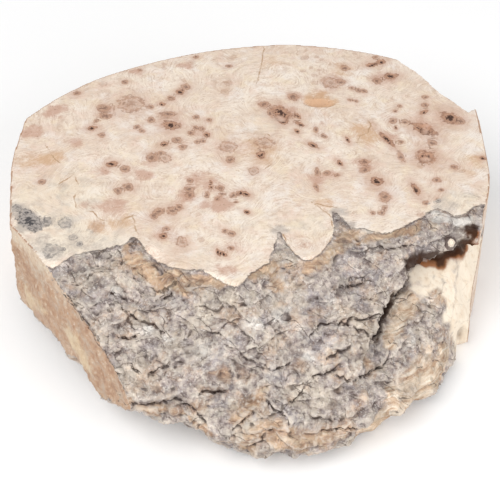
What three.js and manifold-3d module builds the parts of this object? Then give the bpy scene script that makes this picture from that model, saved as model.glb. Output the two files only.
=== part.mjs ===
// A block of oak burl, one piece of wood as it grew. Saws cut it flat on top, flat where it rests, and upright
// round its left, back and right. Bark is left on the front, round the underside there, and on two corners at the right.
// Millimetres, +Z up, front towards -Y, origin under the middle of the block on the surface that it rests on.
import * as THREE from "three";
import { ImprovedNoise } from "three/addons/math/ImprovedNoise.js";
import { mergeVertices } from "three/addons/utils/BufferGeometryUtils.js";
import Module from "manifold-3d";

const wasm = await Module();
wasm.setup();
const perlin = new ImprovedNoise();

// Driving dimensions
const THICKNESS = 90; // between the sawn faces
const OVERCUT = 12; // how far a cutting solid reaches past the face it leaves
const MERGE = 1e-3; // vertices nearer than this are one

// The upright saw cuts, seen from above: one straight cut, then curved passes of the saw
const LEFT_FRONT_CUT = [[-50, -169], [-143, -41]];
const LEFT_PASS = [[-147, -3], [-148.5, 24], [-145, 63]];
const BACK_PASS = [[-125, 87], [-94, 112], [-41, 136], [14, 147], [55, 144], [95, 132], [125, 112], [147, 84]];
const RIGHT_PASS = [[148, 51], [147.5, 0], [137, -45], [133, -90], [118, -135], [70, -172], [12, -184]];
const STEPS_PER_POINT = 5;

// The bark face is lofted through three lines, each running from left to right in equal steps of X.
const BARK_LEFT = -160;
const BARK_RIGHT = 160;
// Y where bark meets the upper sawn face, in lobes
const TOP_LINE = [-42, -46, -70, -74, -79, -64, -79, -84, -93, -73, -67, -56, -57, -48, -37, -38, -30];
const BELLY_LINE = [-104, -125, -143, -143, -157, -152, -134, -86, -36]; // Y of the furthest bulge
const BELLY_HEIGHTS = [68, 64, 48, 36, 26, 21, 20, 16, 16]; // Z of the furthest bulge
const BASE_LINE = [40, 0, -80, -103, -132, -129, -112, -68, -16]; // Y where it turns under to the flat base
const BARK_COLUMNS = 76;
const BARK_ROWS = 32;
const WASTE_DEPTH = 130; // depth of the waste outside a bark face

// Two corners were never sawn: bark stands upright there, along these lines seen from above.
const UNSAWN_CORNERS = [
  { from: [140, 70], to: [95, 134], columns: 16 },
  { from: [97, -130], to: [131, -54], columns: 18 },
];
const CORNER_ROWS = 20;

// The hollow under the ledge at the right. Its wall is lofted from left to right through three rails, and each
// rail runs from where the hollow dies out up to the ledge.
const HOLLOW_RAILS = [
  [[62, -124, 42], [74, -74, 58], [91, -46, 68]],
  [[104, -110, 24], [112, -66, 48], [118, -28, 70]],
  [[139, -66, -8], [145, -31, 28], [152, 2, 64]],
];
const HOLLOW_OPENS = [0.1, -0.95, 0.3]; // direction in which the hollow opens
const HOLLOW_COLUMNS = 20;
const HOLLOW_ROWS = 22;

// Pockets that the upper sawn face opened, as centre [X, Y], half length, half width, depth and turn in degrees
const POCKETS = [
  { at: [45, 80], half: [11, 4.5], depth: 3.5, turn: -4 },
  { at: [110, 23], half: [5, 4], depth: 3.5, turn: 10 },
  { at: [112, 52], half: [4.5, 6], depth: 2.5, turn: 0 },
  { at: [20, 66], half: [4.5, 7], depth: 2.5, turn: 20 },
];
const POCKET_DETAIL = 3;

// Relief of the bark: rounded nodules that meet in creases, with a rougher grain over them
const SEED = 20;
const NODULE_PITCH = 20;
const NODULE_HEIGHT = 11;
const ROUGH_PITCH = 13;
const ROUGH_HEIGHT = 4;
const EDGE_RELIEF = 0.4; // share of the relief at the upper sawn face
const EDGE_DEPTH = 20; // how far below that face the relief is whole
const CORNER_RELIEF = 0.6;
const HOLLOW_RELIEF = 0.35; // the hollow's wall is weathered smooth
const LEVEL = 0.45; // squared distance from a nodule's centre, in pitches, where bark is level with its smooth face
const HEART = new THREE.Vector3(0, 20, 45); // the relief stands away from here
const ROOM = { low: [-180, -190, -25], high: [180, 180, 125] }; // the block and some room round it, for nodules

/** Seeded random numbers from 0 to 1. */
function randomNumbers(seed) {
  let state = seed;
  return () => {
    state = (state * 1664525 + 1013904223) % 4294967296;
    return state / 4294967296;
  };
}

/** Centres of the bark's nodules, one in each cell of a grid over the block. */
function noduleCentres() {
  const random = randomNumbers(SEED);
  const centres = [];
  for (let x = ROOM.low[0]; x < ROOM.high[0]; x += NODULE_PITCH) {
    for (let y = ROOM.low[1]; y < ROOM.high[1]; y += NODULE_PITCH) {
      for (let z = ROOM.low[2]; z < ROOM.high[2]; z += NODULE_PITCH) {
        const jitter = new THREE.Vector3(random(), random(), random());
        centres.push(jitter.multiplyScalar(NODULE_PITCH).add(new THREE.Vector3(x, y, z)));
      }
    }
  }
  return centres;
}

const NODULES = noduleCentres();

/** Height of the bark's relief at a point of its smooth face. */
function relief(point) {
  const nearest = Math.min(...NODULES.map((centre) => centre.distanceTo(point))) / NODULE_PITCH;
  const { x, y, z } = point.clone().divideScalar(ROUGH_PITCH);
  return NODULE_HEIGHT * (LEVEL - nearest * nearest) + ROUGH_HEIGHT * perlin.noise(x, y, z);
}

/** The point moved away from the heart of the block by the bark's relief. */
function barked(point, share = 1) {
  const outwards = point.clone().sub(HEART).normalize();
  return point.addScaledVector(outwards, relief(point) * share);
}

/** A closed geometry as a solid. */
function solidOf(geometry) {
  const bare = geometry.clone();
  bare.deleteAttribute("normal");
  bare.deleteAttribute("uv");
  const merged = mergeVertices(bare, MERGE);
  return new wasm.Manifold(
    new wasm.Mesh({
      numProp: 3,
      vertProperties: merged.attributes.position.array,
      triVerts: new Uint32Array(merged.index.array),
    }),
  );
}

/** Moves each vertex of a geometry to where the function puts it. */
function reshape(geometry, place) {
  const positions = geometry.attributes.position;
  const point = new THREE.Vector3();
  for (let i = 0; i < positions.count; i++) {
    const moved = place(point.fromBufferAttribute(positions, i).clone());
    positions.setXYZ(i, moved.x, moved.y, moved.z);
  }
  return geometry;
}

/** The upright block that the saws cut. */
function sawnBlock() {
  const outline = new THREE.Shape();
  const points = (pass) => pass.map(([x, y]) => new THREE.Vector2(x, y));
  outline.moveTo(...LEFT_FRONT_CUT[0]);
  outline.lineTo(...LEFT_FRONT_CUT[1]);
  outline.splineThru(points(LEFT_PASS));
  outline.splineThru(points(BACK_PASS));
  outline.splineThru(points([...RIGHT_PASS, LEFT_FRONT_CUT[0]]));
  const settings = { depth: THICKNESS, bevelEnabled: false, curveSegments: STEPS_PER_POINT };
  return solidOf(new THREE.ExtrudeGeometry(outline, settings));
}

/** The waste outside a bark face, whose inner side is surface(s, t) with s and t from 0 to 1, and t rising. */
function waste(surface, away, columns, rows) {
  const block = new THREE.BoxGeometry(1, 1, 1, columns, 1, rows);
  return solidOf(
    reshape(block, (p) => {
      const inner = surface(p.x + 0.5, p.z + 0.5);
      return p.y > 0 ? inner : inner.addScaledVector(away, WASTE_DEPTH);
    }),
  );
}

/** A smooth line through values at equal steps of X. */
function lineThrough(values) {
  const step = (BARK_RIGHT - BARK_LEFT) / (values.length - 1);
  const points = values.map((value, i) => new THREE.Vector3(BARK_LEFT + i * step, value, 0));
  const curve = new THREE.CatmullRomCurve3(points, false, "catmullrom");
  return (s) => curve.getPoint(s).y;
}

/** Waste in front of the block, whose inner side is the bark that grew there. */
function frontWaste() {
  const top = lineThrough(TOP_LINE);
  const belly = lineThrough(BELLY_LINE);
  const bellyHeight = lineThrough(BELLY_HEIGHTS);
  const base = lineThrough(BASE_LINE);
  const surface = (s, t) => {
    const x = THREE.MathUtils.lerp(BARK_LEFT, BARK_RIGHT, s);
    const profile = new THREE.CatmullRomCurve3([
      new THREE.Vector3(x, base(s) + OVERCUT, -OVERCUT),
      new THREE.Vector3(x, base(s), 0),
      new THREE.Vector3(x, belly(s), bellyHeight(s)),
      new THREE.Vector3(x, top(s), THICKNESS),
      new THREE.Vector3(x, top(s) + OVERCUT, THICKNESS + OVERCUT),
    ]);
    const point = profile.getPointAt(t);
    const nearTop = THREE.MathUtils.smoothstep(point.z, THICKNESS - EDGE_DEPTH, THICKNESS);
    return barked(point, THREE.MathUtils.lerp(1, EDGE_RELIEF, nearTop));
  };
  return waste(surface, new THREE.Vector3(0, -1, 0), BARK_COLUMNS, BARK_ROWS);
}

/** Waste outside an unsawn corner. */
function cornerWaste({ from, to, columns }) {
  const start = new THREE.Vector3(...from, 0);
  const end = new THREE.Vector3(...to, 0);
  const along = end.clone().sub(start).normalize();
  const away = new THREE.Vector3(along.y, -along.x, 0);
  const surface = (s, t) => {
    const point = start.clone().lerp(end, s);
    point.z = THREE.MathUtils.lerp(-OVERCUT, THICKNESS + OVERCUT, t);
    return barked(point, CORNER_RELIEF);
  };
  return waste(surface, away, columns, CORNER_ROWS);
}

/** Waste in the hollow under the ledge. */
function hollowWaste() {
  const curve = (points) => new THREE.CatmullRomCurve3(points);
  const rails = HOLLOW_RAILS.map((rail) => curve(rail.map((point) => new THREE.Vector3(...point))));
  const surface = (s, t) => {
    const across = curve(rails.map((rail) => rail.getPoint(t)));
    return barked(across.getPoint(s), HOLLOW_RELIEF);
  };
  return waste(surface, new THREE.Vector3(...HOLLOW_OPENS).normalize(), HOLLOW_COLUMNS, HOLLOW_ROWS);
}

/** One pocket in the upper sawn face. */
function pocket({ at, half, depth, turn }) {
  const bowl = new THREE.IcosahedronGeometry(1, POCKET_DETAIL);
  bowl.scale(...half, depth);
  bowl.rotateZ(THREE.MathUtils.degToRad(turn));
  bowl.translate(...at, THICKNESS);
  return solidOf(bowl);
}

/** The largest body of a solid: the cuts can leave crumbs of bark, which fall off. */
function largestBody(solid) {
  return solid.decompose().reduce((a, b) => (a.volume() > b.volume() ? a : b));
}

/** A solid as a geometry, moved so that its box stands on the origin. */
function standing(solid) {
  const { vertProperties, triVerts } = solid.getMesh();
  const geometry = new THREE.BufferGeometry();
  geometry.setAttribute("position", new THREE.BufferAttribute(new Float32Array(vertProperties), 3));
  geometry.setIndex(new THREE.BufferAttribute(new Uint32Array(triVerts), 1));
  geometry.computeBoundingBox();
  const middle = geometry.boundingBox.getCenter(new THREE.Vector3());
  geometry.translate(-middle.x, -middle.y, -geometry.boundingBox.min.z);
  geometry.computeVertexNormals();
  return geometry;
}

const cuts = [frontWaste(), ...UNSAWN_CORNERS.map(cornerWaste), hollowWaste(), ...POCKETS.map(pocket)];
const block = largestBody(cuts.reduce((left, cut) => left.subtract(cut), sawnBlock()));

const wood = new THREE.MeshStandardMaterial({ color: 0xdfcbb6, roughness: 0.75, metalness: 0 });
const oakBurl = new THREE.Mesh(standing(block), wood);
oakBurl.name = "oak_burl";

const part = new THREE.Group();
part.name = "oak_burl_block";
part.add(oakBurl);

export default part;
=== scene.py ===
"""Oak burl block: a sawn face of eyes and swirling grain, grey bark in front, a pale hollow under a ledge."""

import logging
import math
import random
from collections.abc import Sequence
from dataclasses import dataclass
from enum import Enum

import bpy
import numpy as np
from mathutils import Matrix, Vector, noise
from mathutils.bvhtree import BVHTree

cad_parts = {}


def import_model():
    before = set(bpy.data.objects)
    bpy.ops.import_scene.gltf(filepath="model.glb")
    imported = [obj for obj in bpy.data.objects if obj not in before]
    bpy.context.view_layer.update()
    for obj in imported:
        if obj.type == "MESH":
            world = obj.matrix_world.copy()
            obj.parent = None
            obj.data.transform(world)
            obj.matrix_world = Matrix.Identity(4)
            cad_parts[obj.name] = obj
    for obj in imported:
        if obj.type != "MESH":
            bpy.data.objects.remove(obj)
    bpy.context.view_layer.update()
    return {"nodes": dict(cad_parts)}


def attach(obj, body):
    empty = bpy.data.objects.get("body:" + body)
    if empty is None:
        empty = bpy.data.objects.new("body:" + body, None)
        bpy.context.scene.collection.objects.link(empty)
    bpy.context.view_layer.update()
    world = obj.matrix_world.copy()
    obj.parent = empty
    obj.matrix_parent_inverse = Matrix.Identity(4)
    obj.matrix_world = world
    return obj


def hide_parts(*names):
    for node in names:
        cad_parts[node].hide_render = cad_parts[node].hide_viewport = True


LOG = logging.getLogger("oak_burl")
MM = 0.001
SEED = 20

# Across the run of the grain, which rises to the right in the photograph
ACROSS_GRAIN = Vector((-0.42, 0.6, 0.25))

# Farther than any line or eye that a vertex is measured from
FAR = 99.0

Pixel = tuple[float, float]
Colour = tuple[float, float, float]


class Surface(Enum):
    """The kinds of skin that the block has."""

    SAWN_FACE = 0
    BASE = 1
    SAW_WALL = 2
    BARK = 3


class EyeKind(Enum):
    """The ways that a bud in the burl shows where the saw has crossed it: how dark and how ringed."""

    FAINT = (0.30, 0.0)
    BUD = (0.72, 0.0)
    DARK = (1.0, 0.0)
    RINGED = (0.62, 1.0)

    @property
    def tone(self) -> float:
        """How dark the core is."""
        return self.value[0]

    @property
    def ringed(self) -> float:
        """1 where rings lie round a pale middle."""
        return self.value[1]


class Tint(Enum):
    """The stains and patches, and the painted shade under the ledge, that are painted on the block, by the
    name of their mesh attribute.
    """

    ROSE = "rose"
    HONEY = "honey"
    SAPWOOD = "sapwood"
    GREY_STAIN = "grey_stain"
    INNER_BARK = "inner_bark"
    DARK_BARK = "dark_bark"
    CHALKY_BARK = "chalky_bark"
    CREAM_HOLLOW = "cream_hollow"
    BEIGE_FLANK = "beige_flank"
    # Painted shade under the ledge: warm brown where light bounces in, deep brown where it is darkest
    AMBER_SHADE = "amber_shade"
    BURNT_SHADE = "burnt_shade"
    WEATHERED_WALL = "weathered_wall"
    YELLOW_WALL = "yellow_wall"


# Eyes on the sawn face: where they lie in the photograph, and their width and height there, in pixels.
FACE_EYES: dict[EyeKind, tuple[tuple[float, float, float, float], ...]] = {
    EyeKind.FAINT: (
        (103, 84, 7, 5), (164, 64, 4, 3), (164, 68, 4, 3), (234, 57, 6, 4), (228, 83, 7, 5),
        (225, 92, 7, 5), (305, 58, 7, 4), (317, 57, 4, 3), (322, 60, 4, 3), (303, 71, 5, 3),
        (311, 68, 4, 3), (319, 70, 4, 3), (313, 75, 4, 3), (314, 83, 5, 4), (324, 80, 5, 4),
        (322, 123, 3, 3), (420, 166, 4, 4), (303, 245, 5, 4), (97, 227, 14, 8), (420, 215, 5, 4),
        (462, 171, 6, 3), (201, 239, 5, 4), (355, 54, 4, 3),
    ),
    EyeKind.BUD: (
        (77, 93, 6, 4), (125, 82, 6, 4), (140, 70, 4, 3), (104, 108, 12, 7), (105, 116, 11, 6),
        (96, 121, 4, 3), (102, 135, 6, 5), (151, 107, 5, 4), (171, 98, 6, 5), (186, 87, 8, 6),
        (168, 114, 12, 5), (151, 120, 6, 5), (137, 127, 6, 4), (142, 131, 5, 4), (179, 126, 5, 4),
        (177, 140, 9, 5), (183, 147, 7, 5), (161, 153, 6, 4), (152, 158, 9, 8), (125, 169, 8, 6),
        (128, 187, 8, 7), (118, 191, 6, 5), (196, 57, 5, 3), (229, 66, 6, 3), (196, 117, 6, 4),
        (209, 120, 5, 4), (196, 128, 5, 4), (202, 129, 5, 4), (191, 133, 5, 4), (197, 142, 5, 4),
        (203, 141, 4, 4), (230, 160, 7, 5), (293, 97, 9, 7), (264, 104, 9, 5), (316, 130, 4, 6),
        (324, 136, 5, 4), (375, 57, 6, 3), (345, 68, 8, 6), (341, 82, 8, 6), (352, 88, 5, 4),
        (358, 90, 5, 4), (364, 91, 5, 4), (377, 81, 8, 6), (350, 100, 4, 3), (356, 101, 4, 3),
        (425, 97, 6, 4), (425, 105, 7, 4), (400, 106, 4, 3), (395, 111, 4, 3), (393, 121, 7, 5),
        (405, 122, 6, 5), (432, 143, 8, 6), (460, 121, 8, 7), (401, 157, 5, 8), (365, 162, 9, 5),
        (365, 170, 10, 5), (385, 197, 9, 8), (454, 167, 6, 4), (437, 180, 7, 4), (441, 190, 5, 3),
        (438, 200, 5, 4), (426, 203, 6, 4), (373, 213, 4, 3), (382, 213, 5, 4), (385, 208, 4, 3),
        (190, 181, 5, 4), (189, 189, 8, 5), (190, 195, 8, 5), (221, 188, 6, 4), (207, 195, 4, 6),
        (222, 194, 5, 3), (217, 199, 4, 3), (233, 195, 6, 5), (236, 202, 4, 2), (159, 211, 7, 5),
        (154, 216, 7, 5), (172, 211, 8, 7), (179, 207, 6, 5), (166, 229, 5, 4), (225, 231, 6, 4),
        (232, 234, 6, 4), (231, 248, 5, 3), (47, 222, 6, 7), (48, 256, 5, 4), (80, 244, 5, 4),
        (17, 207, 6, 5), (63, 249, 4, 3), (42, 182, 6, 4), (124, 103, 5, 4), (270, 113, 4, 8),
        (327, 173, 6, 4), (337, 175, 5, 3), (317, 172, 4, 7), (316, 187, 4, 7), (401, 142, 4, 4),
    ),
    EyeKind.DARK: (
        (92, 128, 8, 4), (162, 104, 5, 4), (180, 92, 7, 5), (170, 125, 11, 9), (164, 144, 6, 4),
        (112, 164, 9, 5), (207, 135, 5, 4), (261, 155, 7, 6), (281, 112, 12, 14), (283, 121, 7, 6),
        (298, 116, 4, 6), (300, 124, 4, 6), (297, 131, 4, 4), (313, 145, 5, 7), (381, 62, 9, 5),
        (371, 65, 9, 4), (391, 76, 12, 6), (424, 112, 8, 3), (396, 128, 3, 3), (424, 129, 12, 14),
        (426, 157, 15, 11), (450, 118, 13, 12), (387, 139, 5, 16), (348, 140, 3, 5), (340, 163, 4, 5),
        (377, 181, 9, 7), (416, 189, 5, 10), (483, 158, 5, 3), (241, 193, 5, 4), (246, 194, 5, 5),
        (247, 212, 4, 4), (211, 182, 3, 3), (211, 187, 3, 3), (163, 236, 6, 4), (218, 252, 3, 5),
        (224, 254, 4, 4), (30, 221, 15, 17), (27, 212, 6, 5),
    ),
    EyeKind.RINGED: (
        (131, 104, 22, 15), (165, 158, 9, 8), (228, 147, 14, 11), (182, 242, 9, 8), (331, 83, 14, 11),
        (65, 223, 10, 9), (73, 237, 6, 5), (52, 250, 12, 9), (254, 171, 8, 7), (264, 143, 16, 10),
    ),
}

# The kinds that the eyes on the saw walls are drawn from
WALL_EYE_KINDS = (EyeKind.FAINT, EyeKind.BUD, EyeKind.BUD, EyeKind.DARK, EyeKind.RINGED)

# Patches of colour: their pixels in the photograph, their radius in millimetres and their strength.
PATCHES: dict[Tint, tuple[tuple[float, float, float, float], ...]] = {
    Tint.ROSE: (
        (55, 111, 8, 0.9), (32, 133, 7, 0.8), (75, 142, 6, 0.8), (134, 73, 5, 0.7), (186, 64, 6, 0.7),
        (110, 206, 9, 0.7), (85, 203, 5, 0.6), (142, 175, 6, 0.9), (103, 171, 5, 0.7),
        (195, 178, 10, 0.7), (185, 195, 7, 0.9), (212, 186, 9, 0.6), (221, 205, 7, 0.9),
        (208, 206, 6, 0.7), (226, 268, 5, 0.6), (303, 243, 5, 0.6), (317, 179, 6, 0.8),
        (330, 174, 5, 0.5), (387, 139, 6, 0.8), (365, 166, 7, 0.7), (105, 112, 7, 0.5),
        (170, 122, 8, 0.5), (282, 115, 8, 0.7), (293, 97, 6, 0.5), (425, 128, 9, 0.6),
        (450, 119, 8, 0.5), (331, 83, 8, 0.6), (384, 78, 8, 0.6), (152, 160, 7, 0.5),
        (198, 134, 8, 0.5), (232, 248, 8, 0.4), (170, 235, 7, 0.4), (319, 103, 9, 0.6),
        (426, 157, 8, 0.5), (264, 104, 6, 0.5),
    ),
    Tint.HONEY: (
        (364, 133, 11, 0.8), (264, 152, 13, 0.5), (319, 103, 9, 1.0), (310, 101, 6, 0.9),
        (328, 103, 6, 0.9), (50, 158, 8, 0.7), (120, 222, 7, 0.6), (97, 227, 8, 0.6),
        (326, 205, 6, 0.6), (476, 160, 7, 0.5), (270, 62, 8, 0.4), (128, 255, 7, 0.6),
        (340, 70, 9, 0.4), (30, 160, 9, 0.5), (470, 172, 6, 0.4),
    ),
    Tint.SAPWOOD: (
        (70, 195, 22, 0.8), (60, 235, 22, 0.9), (105, 240, 18, 0.7), (35, 200, 16, 0.7),
        (465, 205, 13, 0.8), (306, 225, 12, 0.6), (250, 225, 14, 0.4), (200, 258, 12, 0.4),
        (260, 125, 14, 0.3), (460, 140, 10, 0.3),
    ),
    Tint.GREY_STAIN: (
        (30, 220, 10, 1.0), (47, 222, 7, 0.7), (18, 210, 8, 0.8), (65, 223, 7, 0.45), (54, 251, 9, 0.6),
        (76, 241, 8, 0.4), (95, 248, 8, 0.5), (115, 244, 6, 0.4), (280, 228, 5, 0.7), (340, 213, 5, 0.7),
        (350, 224, 5, 0.7), (451, 205, 6, 0.5), (440, 208, 6, 0.6), (36, 245, 9, 0.5), (73, 237, 6, 0.4),
        (470, 196, 6, 0.4),
    ),
    Tint.INNER_BARK: (
        (235, 314, 6, 0.6), (280, 307, 5, 0.6), (369, 365, 6, 0.7), (365, 400, 6, 0.7),
        (290, 396, 5, 0.6), (241, 413, 8, 0.8), (275, 428, 8, 0.8), (252, 444, 9, 0.8),
        (300, 442, 9, 0.8), (335, 436, 10, 0.8), (375, 425, 9, 0.8), (118, 394, 6, 0.6),
        (150, 412, 6, 0.8), (174, 411, 5, 0.8), (222, 372, 7, 0.7), (262, 392, 6, 0.7),
        (195, 408, 6, 0.7), (300, 366, 6, 0.5), (318, 312, 5, 0.5),
    ),
    Tint.DARK_BARK: (
        (80, 274, 8, 0.8), (95, 285, 8, 0.7), (360, 255, 7, 0.8), (342, 284, 8, 0.7),
        (311, 302, 7, 0.7), (373, 389, 6, 0.7), (336, 407, 6, 0.6), (303, 338, 6, 0.6),
        (348, 246, 5, 0.7), (215, 296, 6, 0.5), (428, 241, 8, 0.7), (262, 297, 6, 0.5),
        (190, 330, 7, 0.4), (120, 315, 7, 0.5), (250, 362, 8, 0.4), (180, 375, 7, 0.4),
        (392, 398, 6, 0.5),
    ),
    Tint.CHALKY_BARK: (
        (147, 329, 6, 0.9), (257, 324, 6, 0.8), (284, 316, 6, 0.9), (310, 356, 5, 0.8),
        (412, 338, 6, 0.6), (120, 290, 6, 0.6), (205, 350, 7, 0.5), (330, 300, 6, 0.5),
        (170, 340, 6, 0.5), (300, 330, 5, 0.5), (430, 320, 6, 0.4),
    ),
    Tint.YELLOW_WALL: (
        (30, 300, 10, 0.8), (42, 306, 8, 0.7), (76, 345, 11, 1.0), (84, 360, 9, 0.9), (50, 262, 6, 0.5),
    ),
}

# Bands of colour: a line of pixels, then the half width in millimetres and the strength.
BANDS: dict[Tint, tuple[tuple[tuple[Pixel, ...], float, float], ...]] = {
    # Painted shadow under the ledge, in the gap at its right end and down the hollow's left edge
    Tint.BURNT_SHADE: (
        (((409, 264), (418, 261), (430, 257), (444, 257), (456, 253), (464, 246)), 5.2, 1.0),
        (((464, 246), (470, 238), (475, 228)), 3.4, 1.0),
        (((410, 266), (408, 277), (400, 288), (391, 300), (384, 313), (380, 325), (375, 337)), 2.6, 1.0),
    ),
    # Painted shade, warm with light bounced inside the hollow
    Tint.AMBER_SHADE: (
        (((420, 264), (432, 262), (446, 261), (458, 257), (466, 249), (473, 238)), 4.4, 1.0),
    ),
    Tint.CREAM_HOLLOW: (
        (((474, 252), (468, 278), (464, 302), (461, 325), (459, 346)), 13.0, 1.0),
        (((450, 275), (449, 298), (450, 318)), 6.0, 1.0),
        (((416, 276), (428, 272), (440, 272), (450, 268)), 6.5, 1.0),
        (((418, 286), (428, 288), (438, 284)), 5.0, 0.8),
    ),
    Tint.BEIGE_FLANK: (
        (((412, 300), (403, 312), (396, 326), (390, 340)), 6.5, 0.9),
        (((447, 356), (438, 376), (418, 398), (396, 414), (366, 428)), 10.0, 1.0),
        (((428, 362), (414, 378), (396, 396)), 8.0, 0.8),
        (((430, 292), (440, 296)), 5.0, 0.6),
    ),
    Tint.INNER_BARK: (
        (((366, 240), (384, 237), (400, 232), (420, 225)), 4.5, 1.0),
        (((127, 246), (131, 258), (134, 272)), 4.0, 1.0),
        (((138, 262), (150, 272), (160, 281), (180, 284)), 6.5, 1.0),
        (((180, 278), (205, 279), (222, 283)), 5.0, 0.9),
        (((254, 276), (268, 270), (284, 266)), 5.0, 0.9),
        (((312, 266), (326, 258), (340, 246), (352, 236)), 5.0, 0.9),
        (((274, 282), (284, 284)), 5.0, 0.8),
        (((246, 448), (262, 430), (285, 442), (320, 438), (350, 432)), 7.0, 0.8),
        (((236, 418), (246, 408), (255, 396)), 4.0, 0.9),
        (((122, 402), (150, 411), (176, 412), (205, 430)), 4.0, 0.9),
    ),
    Tint.DARK_BARK: (
        (((336, 215), (346, 222), (358, 232)), 3.0, 0.6),
        (((428, 240), (446, 238), (462, 232)), 4.0, 0.9),
        (((372, 248), (392, 251), (415, 248)), 3.0, 0.8),
    ),
    Tint.CHALKY_BARK: (
        (((442, 220), (455, 222), (468, 219)), 5.0, 1.0),
        (((436, 212), (446, 214)), 3.0, 0.8),
    ),
    Tint.WEATHERED_WALL: (
        (((14, 262), (34, 280), (52, 304), (70, 330), (90, 360), (112, 392)), 40.0, 1.0),
    ),
}

# Where the sawn wood of the face ends at the bark, from left to right, as pixels.
WOOD_EDGE: tuple[Pixel, ...] = (
    (40, 264), (52, 268), (62, 262), (72, 256), (85, 252), (100, 250), (112, 247), (121, 246),
    (126, 243), (130, 238), (135, 237), (140, 241), (146, 251), (152, 258), (162, 264), (174, 268),
    (188, 270), (202, 270), (211, 274), (219, 280), (228, 285), (237, 286), (244, 281), (251, 273),
    (260, 268), (268, 263), (271, 256), (275, 244), (279, 231), (283, 238), (288, 246), (295, 254),
    (302, 259), (309, 261), (317, 256), (324, 249), (331, 240), (334, 230), (333, 220), (331, 212),
    (337, 213), (344, 220), (351, 228), (364, 228), (375, 233), (387, 233), (400, 228), (411, 222),
    (420, 218), (428, 212), (438, 209), (447, 212), (457, 217), (466, 213), (474, 206), (484, 204),
)

# Round knots in the bark: their pixel, radius and height in millimetres, and how pale their cut end is.
KNOTS: tuple[tuple[Pixel, float, float, float], ...] = (
    ((451, 242.5), 2.9, 1.6, 1.0), ((184.6, 279.6), 3.4, 0.8, 0.0), ((174, 411), 3.4, 0.9, 0.0),
)

# Seams in the sawn face where two lobes of the burl have grown together, as lines of pixels.
SEAMS: tuple[tuple[Pixel, ...], ...] = (
    ((47, 147), (53, 157), (62, 165), (74, 172)),
    ((36, 187), (42, 190), (52, 187), (66, 180), (74, 174), (79, 186), (74, 197), (76, 207), (85, 211)),
    ((85, 211), (93, 211), (99, 219), (109, 222), (122, 220), (133, 215)),
    ((133, 215), (135, 228), (141, 238), (137, 250)),
    ((281, 228), (286, 242), (293, 253), (303, 261), (318, 256), (328, 246), (334, 232), (330, 215),
     (313, 203)),
    ((313, 203), (326, 206), (339, 208)),
    ((264, 48), (261, 66), (257, 83)),
    ((249, 140), (257, 134), (268, 134), (277, 142), (280, 152), (276, 163), (266, 168)),
    ((364, 116), (371, 124), (368, 133), (360, 136), (357, 143), (364, 150)),
)

# Pockets that the saw opened in the face, by their pixels.
POCKETS: tuple[Pixel, ...] = ((319, 103), (281, 115), (424, 129), (426, 157))

# Cracks in the bark: a line of pixels, then the depth and the half width in millimetres.
CRACKS: tuple[tuple[tuple[Pixel, ...], float, float], ...] = (
    (((114, 390), (124, 404), (135, 405), (156, 403), (167, 403), (175, 397), (183, 401), (194, 408),
      (205, 422)), 6.0, 2.6),
    (((199, 391), (206, 388), (214, 389), (226, 389)), 4.5, 2.2),
    (((56, 282), (73, 306), (87, 325), (100, 347), (118, 375)), 3.4, 3.0),
    (((112, 292), (127, 297)), 2.5, 1.6),
    (((123, 306), (140, 317), (154, 322), (163, 330)), 3.5, 2.0),
    (((118, 336), (130, 336), (139, 331)), 3.0, 1.8),
    (((130, 362), (134, 367), (140, 373)), 2.5, 1.6),
    (((148, 372), (156, 369), (168, 362)), 3.0, 1.8),
    (((207, 329), (221, 332)), 2.5, 1.6),
    (((164, 297), (171, 291)), 2.5, 1.6),
    (((310, 335), (323, 321), (341, 321), (355, 324), (373, 335)), 4.0, 2.2),
    (((262, 362), (272, 367), (280, 365), (290, 364)), 3.0, 1.8),
    (((304, 380), (318, 372), (328, 372), (341, 362)), 3.5, 2.0),
    (((327, 357), (350, 349)), 3.0, 1.8),
    (((339, 375), (356, 381), (371, 370), (385, 361), (390, 350)), 4.0, 2.2),
    (((287, 404), (297, 395), (304, 387)), 3.0, 1.8),
    (((268, 399), (276, 408), (286, 416), (289, 422)), 3.0, 1.8),
    (((310, 434), (327, 430), (346, 427), (358, 426)), 2.5, 1.8),
    (((250, 446), (258, 441), (265, 434)), 4.0, 2.2),
    (((234, 428), (245, 418), (255, 407)), 2.5, 1.6),
    (((338, 287), (352, 284), (364, 282)), 2.5, 1.8),
    (((376, 245), (386, 249), (394, 248), (406, 245), (417, 245)), 2.5, 1.8),
    (((343, 322), (352, 318), (366, 316), (380, 313)), 3.0, 1.8),
    (((311, 415), (325, 418), (339, 417)), 2.0, 1.6),
    (((407, 259), (410, 268), (408, 277), (392, 297), (382, 314), (379, 325), (374, 339)), 4.0, 2.4),
)


def from_screen(red: float, green: float, blue: float) -> Colour:
    """Turn a colour as a screen shows it into the linear one that a shader takes.

    Args:
        red: Red from 0 to 255.
        green: Green from 0 to 255.
        blue: Blue from 0 to 255.

    Returns:
        The linear colour.
    """

    def linear(level: float) -> float:
        """Undo the screen's curve for one channel."""
        share = level / 255.0
        return share / 12.92 if share <= 0.04045 else ((share + 0.055) / 1.055) ** 2.4

    return linear(red), linear(green), linear(blue)


def smooth_step(values: np.ndarray, low: float, high: float) -> np.ndarray:
    """Ease values from 0 at low to 1 at high.

    Args:
        values: The numbers to ease.
        low: Where the ease starts.
        high: Where it ends.

    Returns:
        The eased numbers.
    """
    share = np.clip((values - low) / (high - low), 0.0, 1.0)
    return share * share * (3.0 - 2.0 * share)


def along_line(line: Sequence[Pixel], step: float) -> list[Pixel]:
    """Walk along a line of pixels.

    Args:
        line: The line's corners.
        step: How far apart the places are, in pixels.

    Returns:
        The places on the way.
    """
    places = []
    for start, end in zip(line, line[1:]):
        count = max(2, round(math.dist(start, end) / step))
        for index in range(count):
            share = index / count
            places.append((start[0] + (end[0] - start[0]) * share, start[1] + (end[1] - start[1]) * share))
    return [*places, line[-1]]


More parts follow.
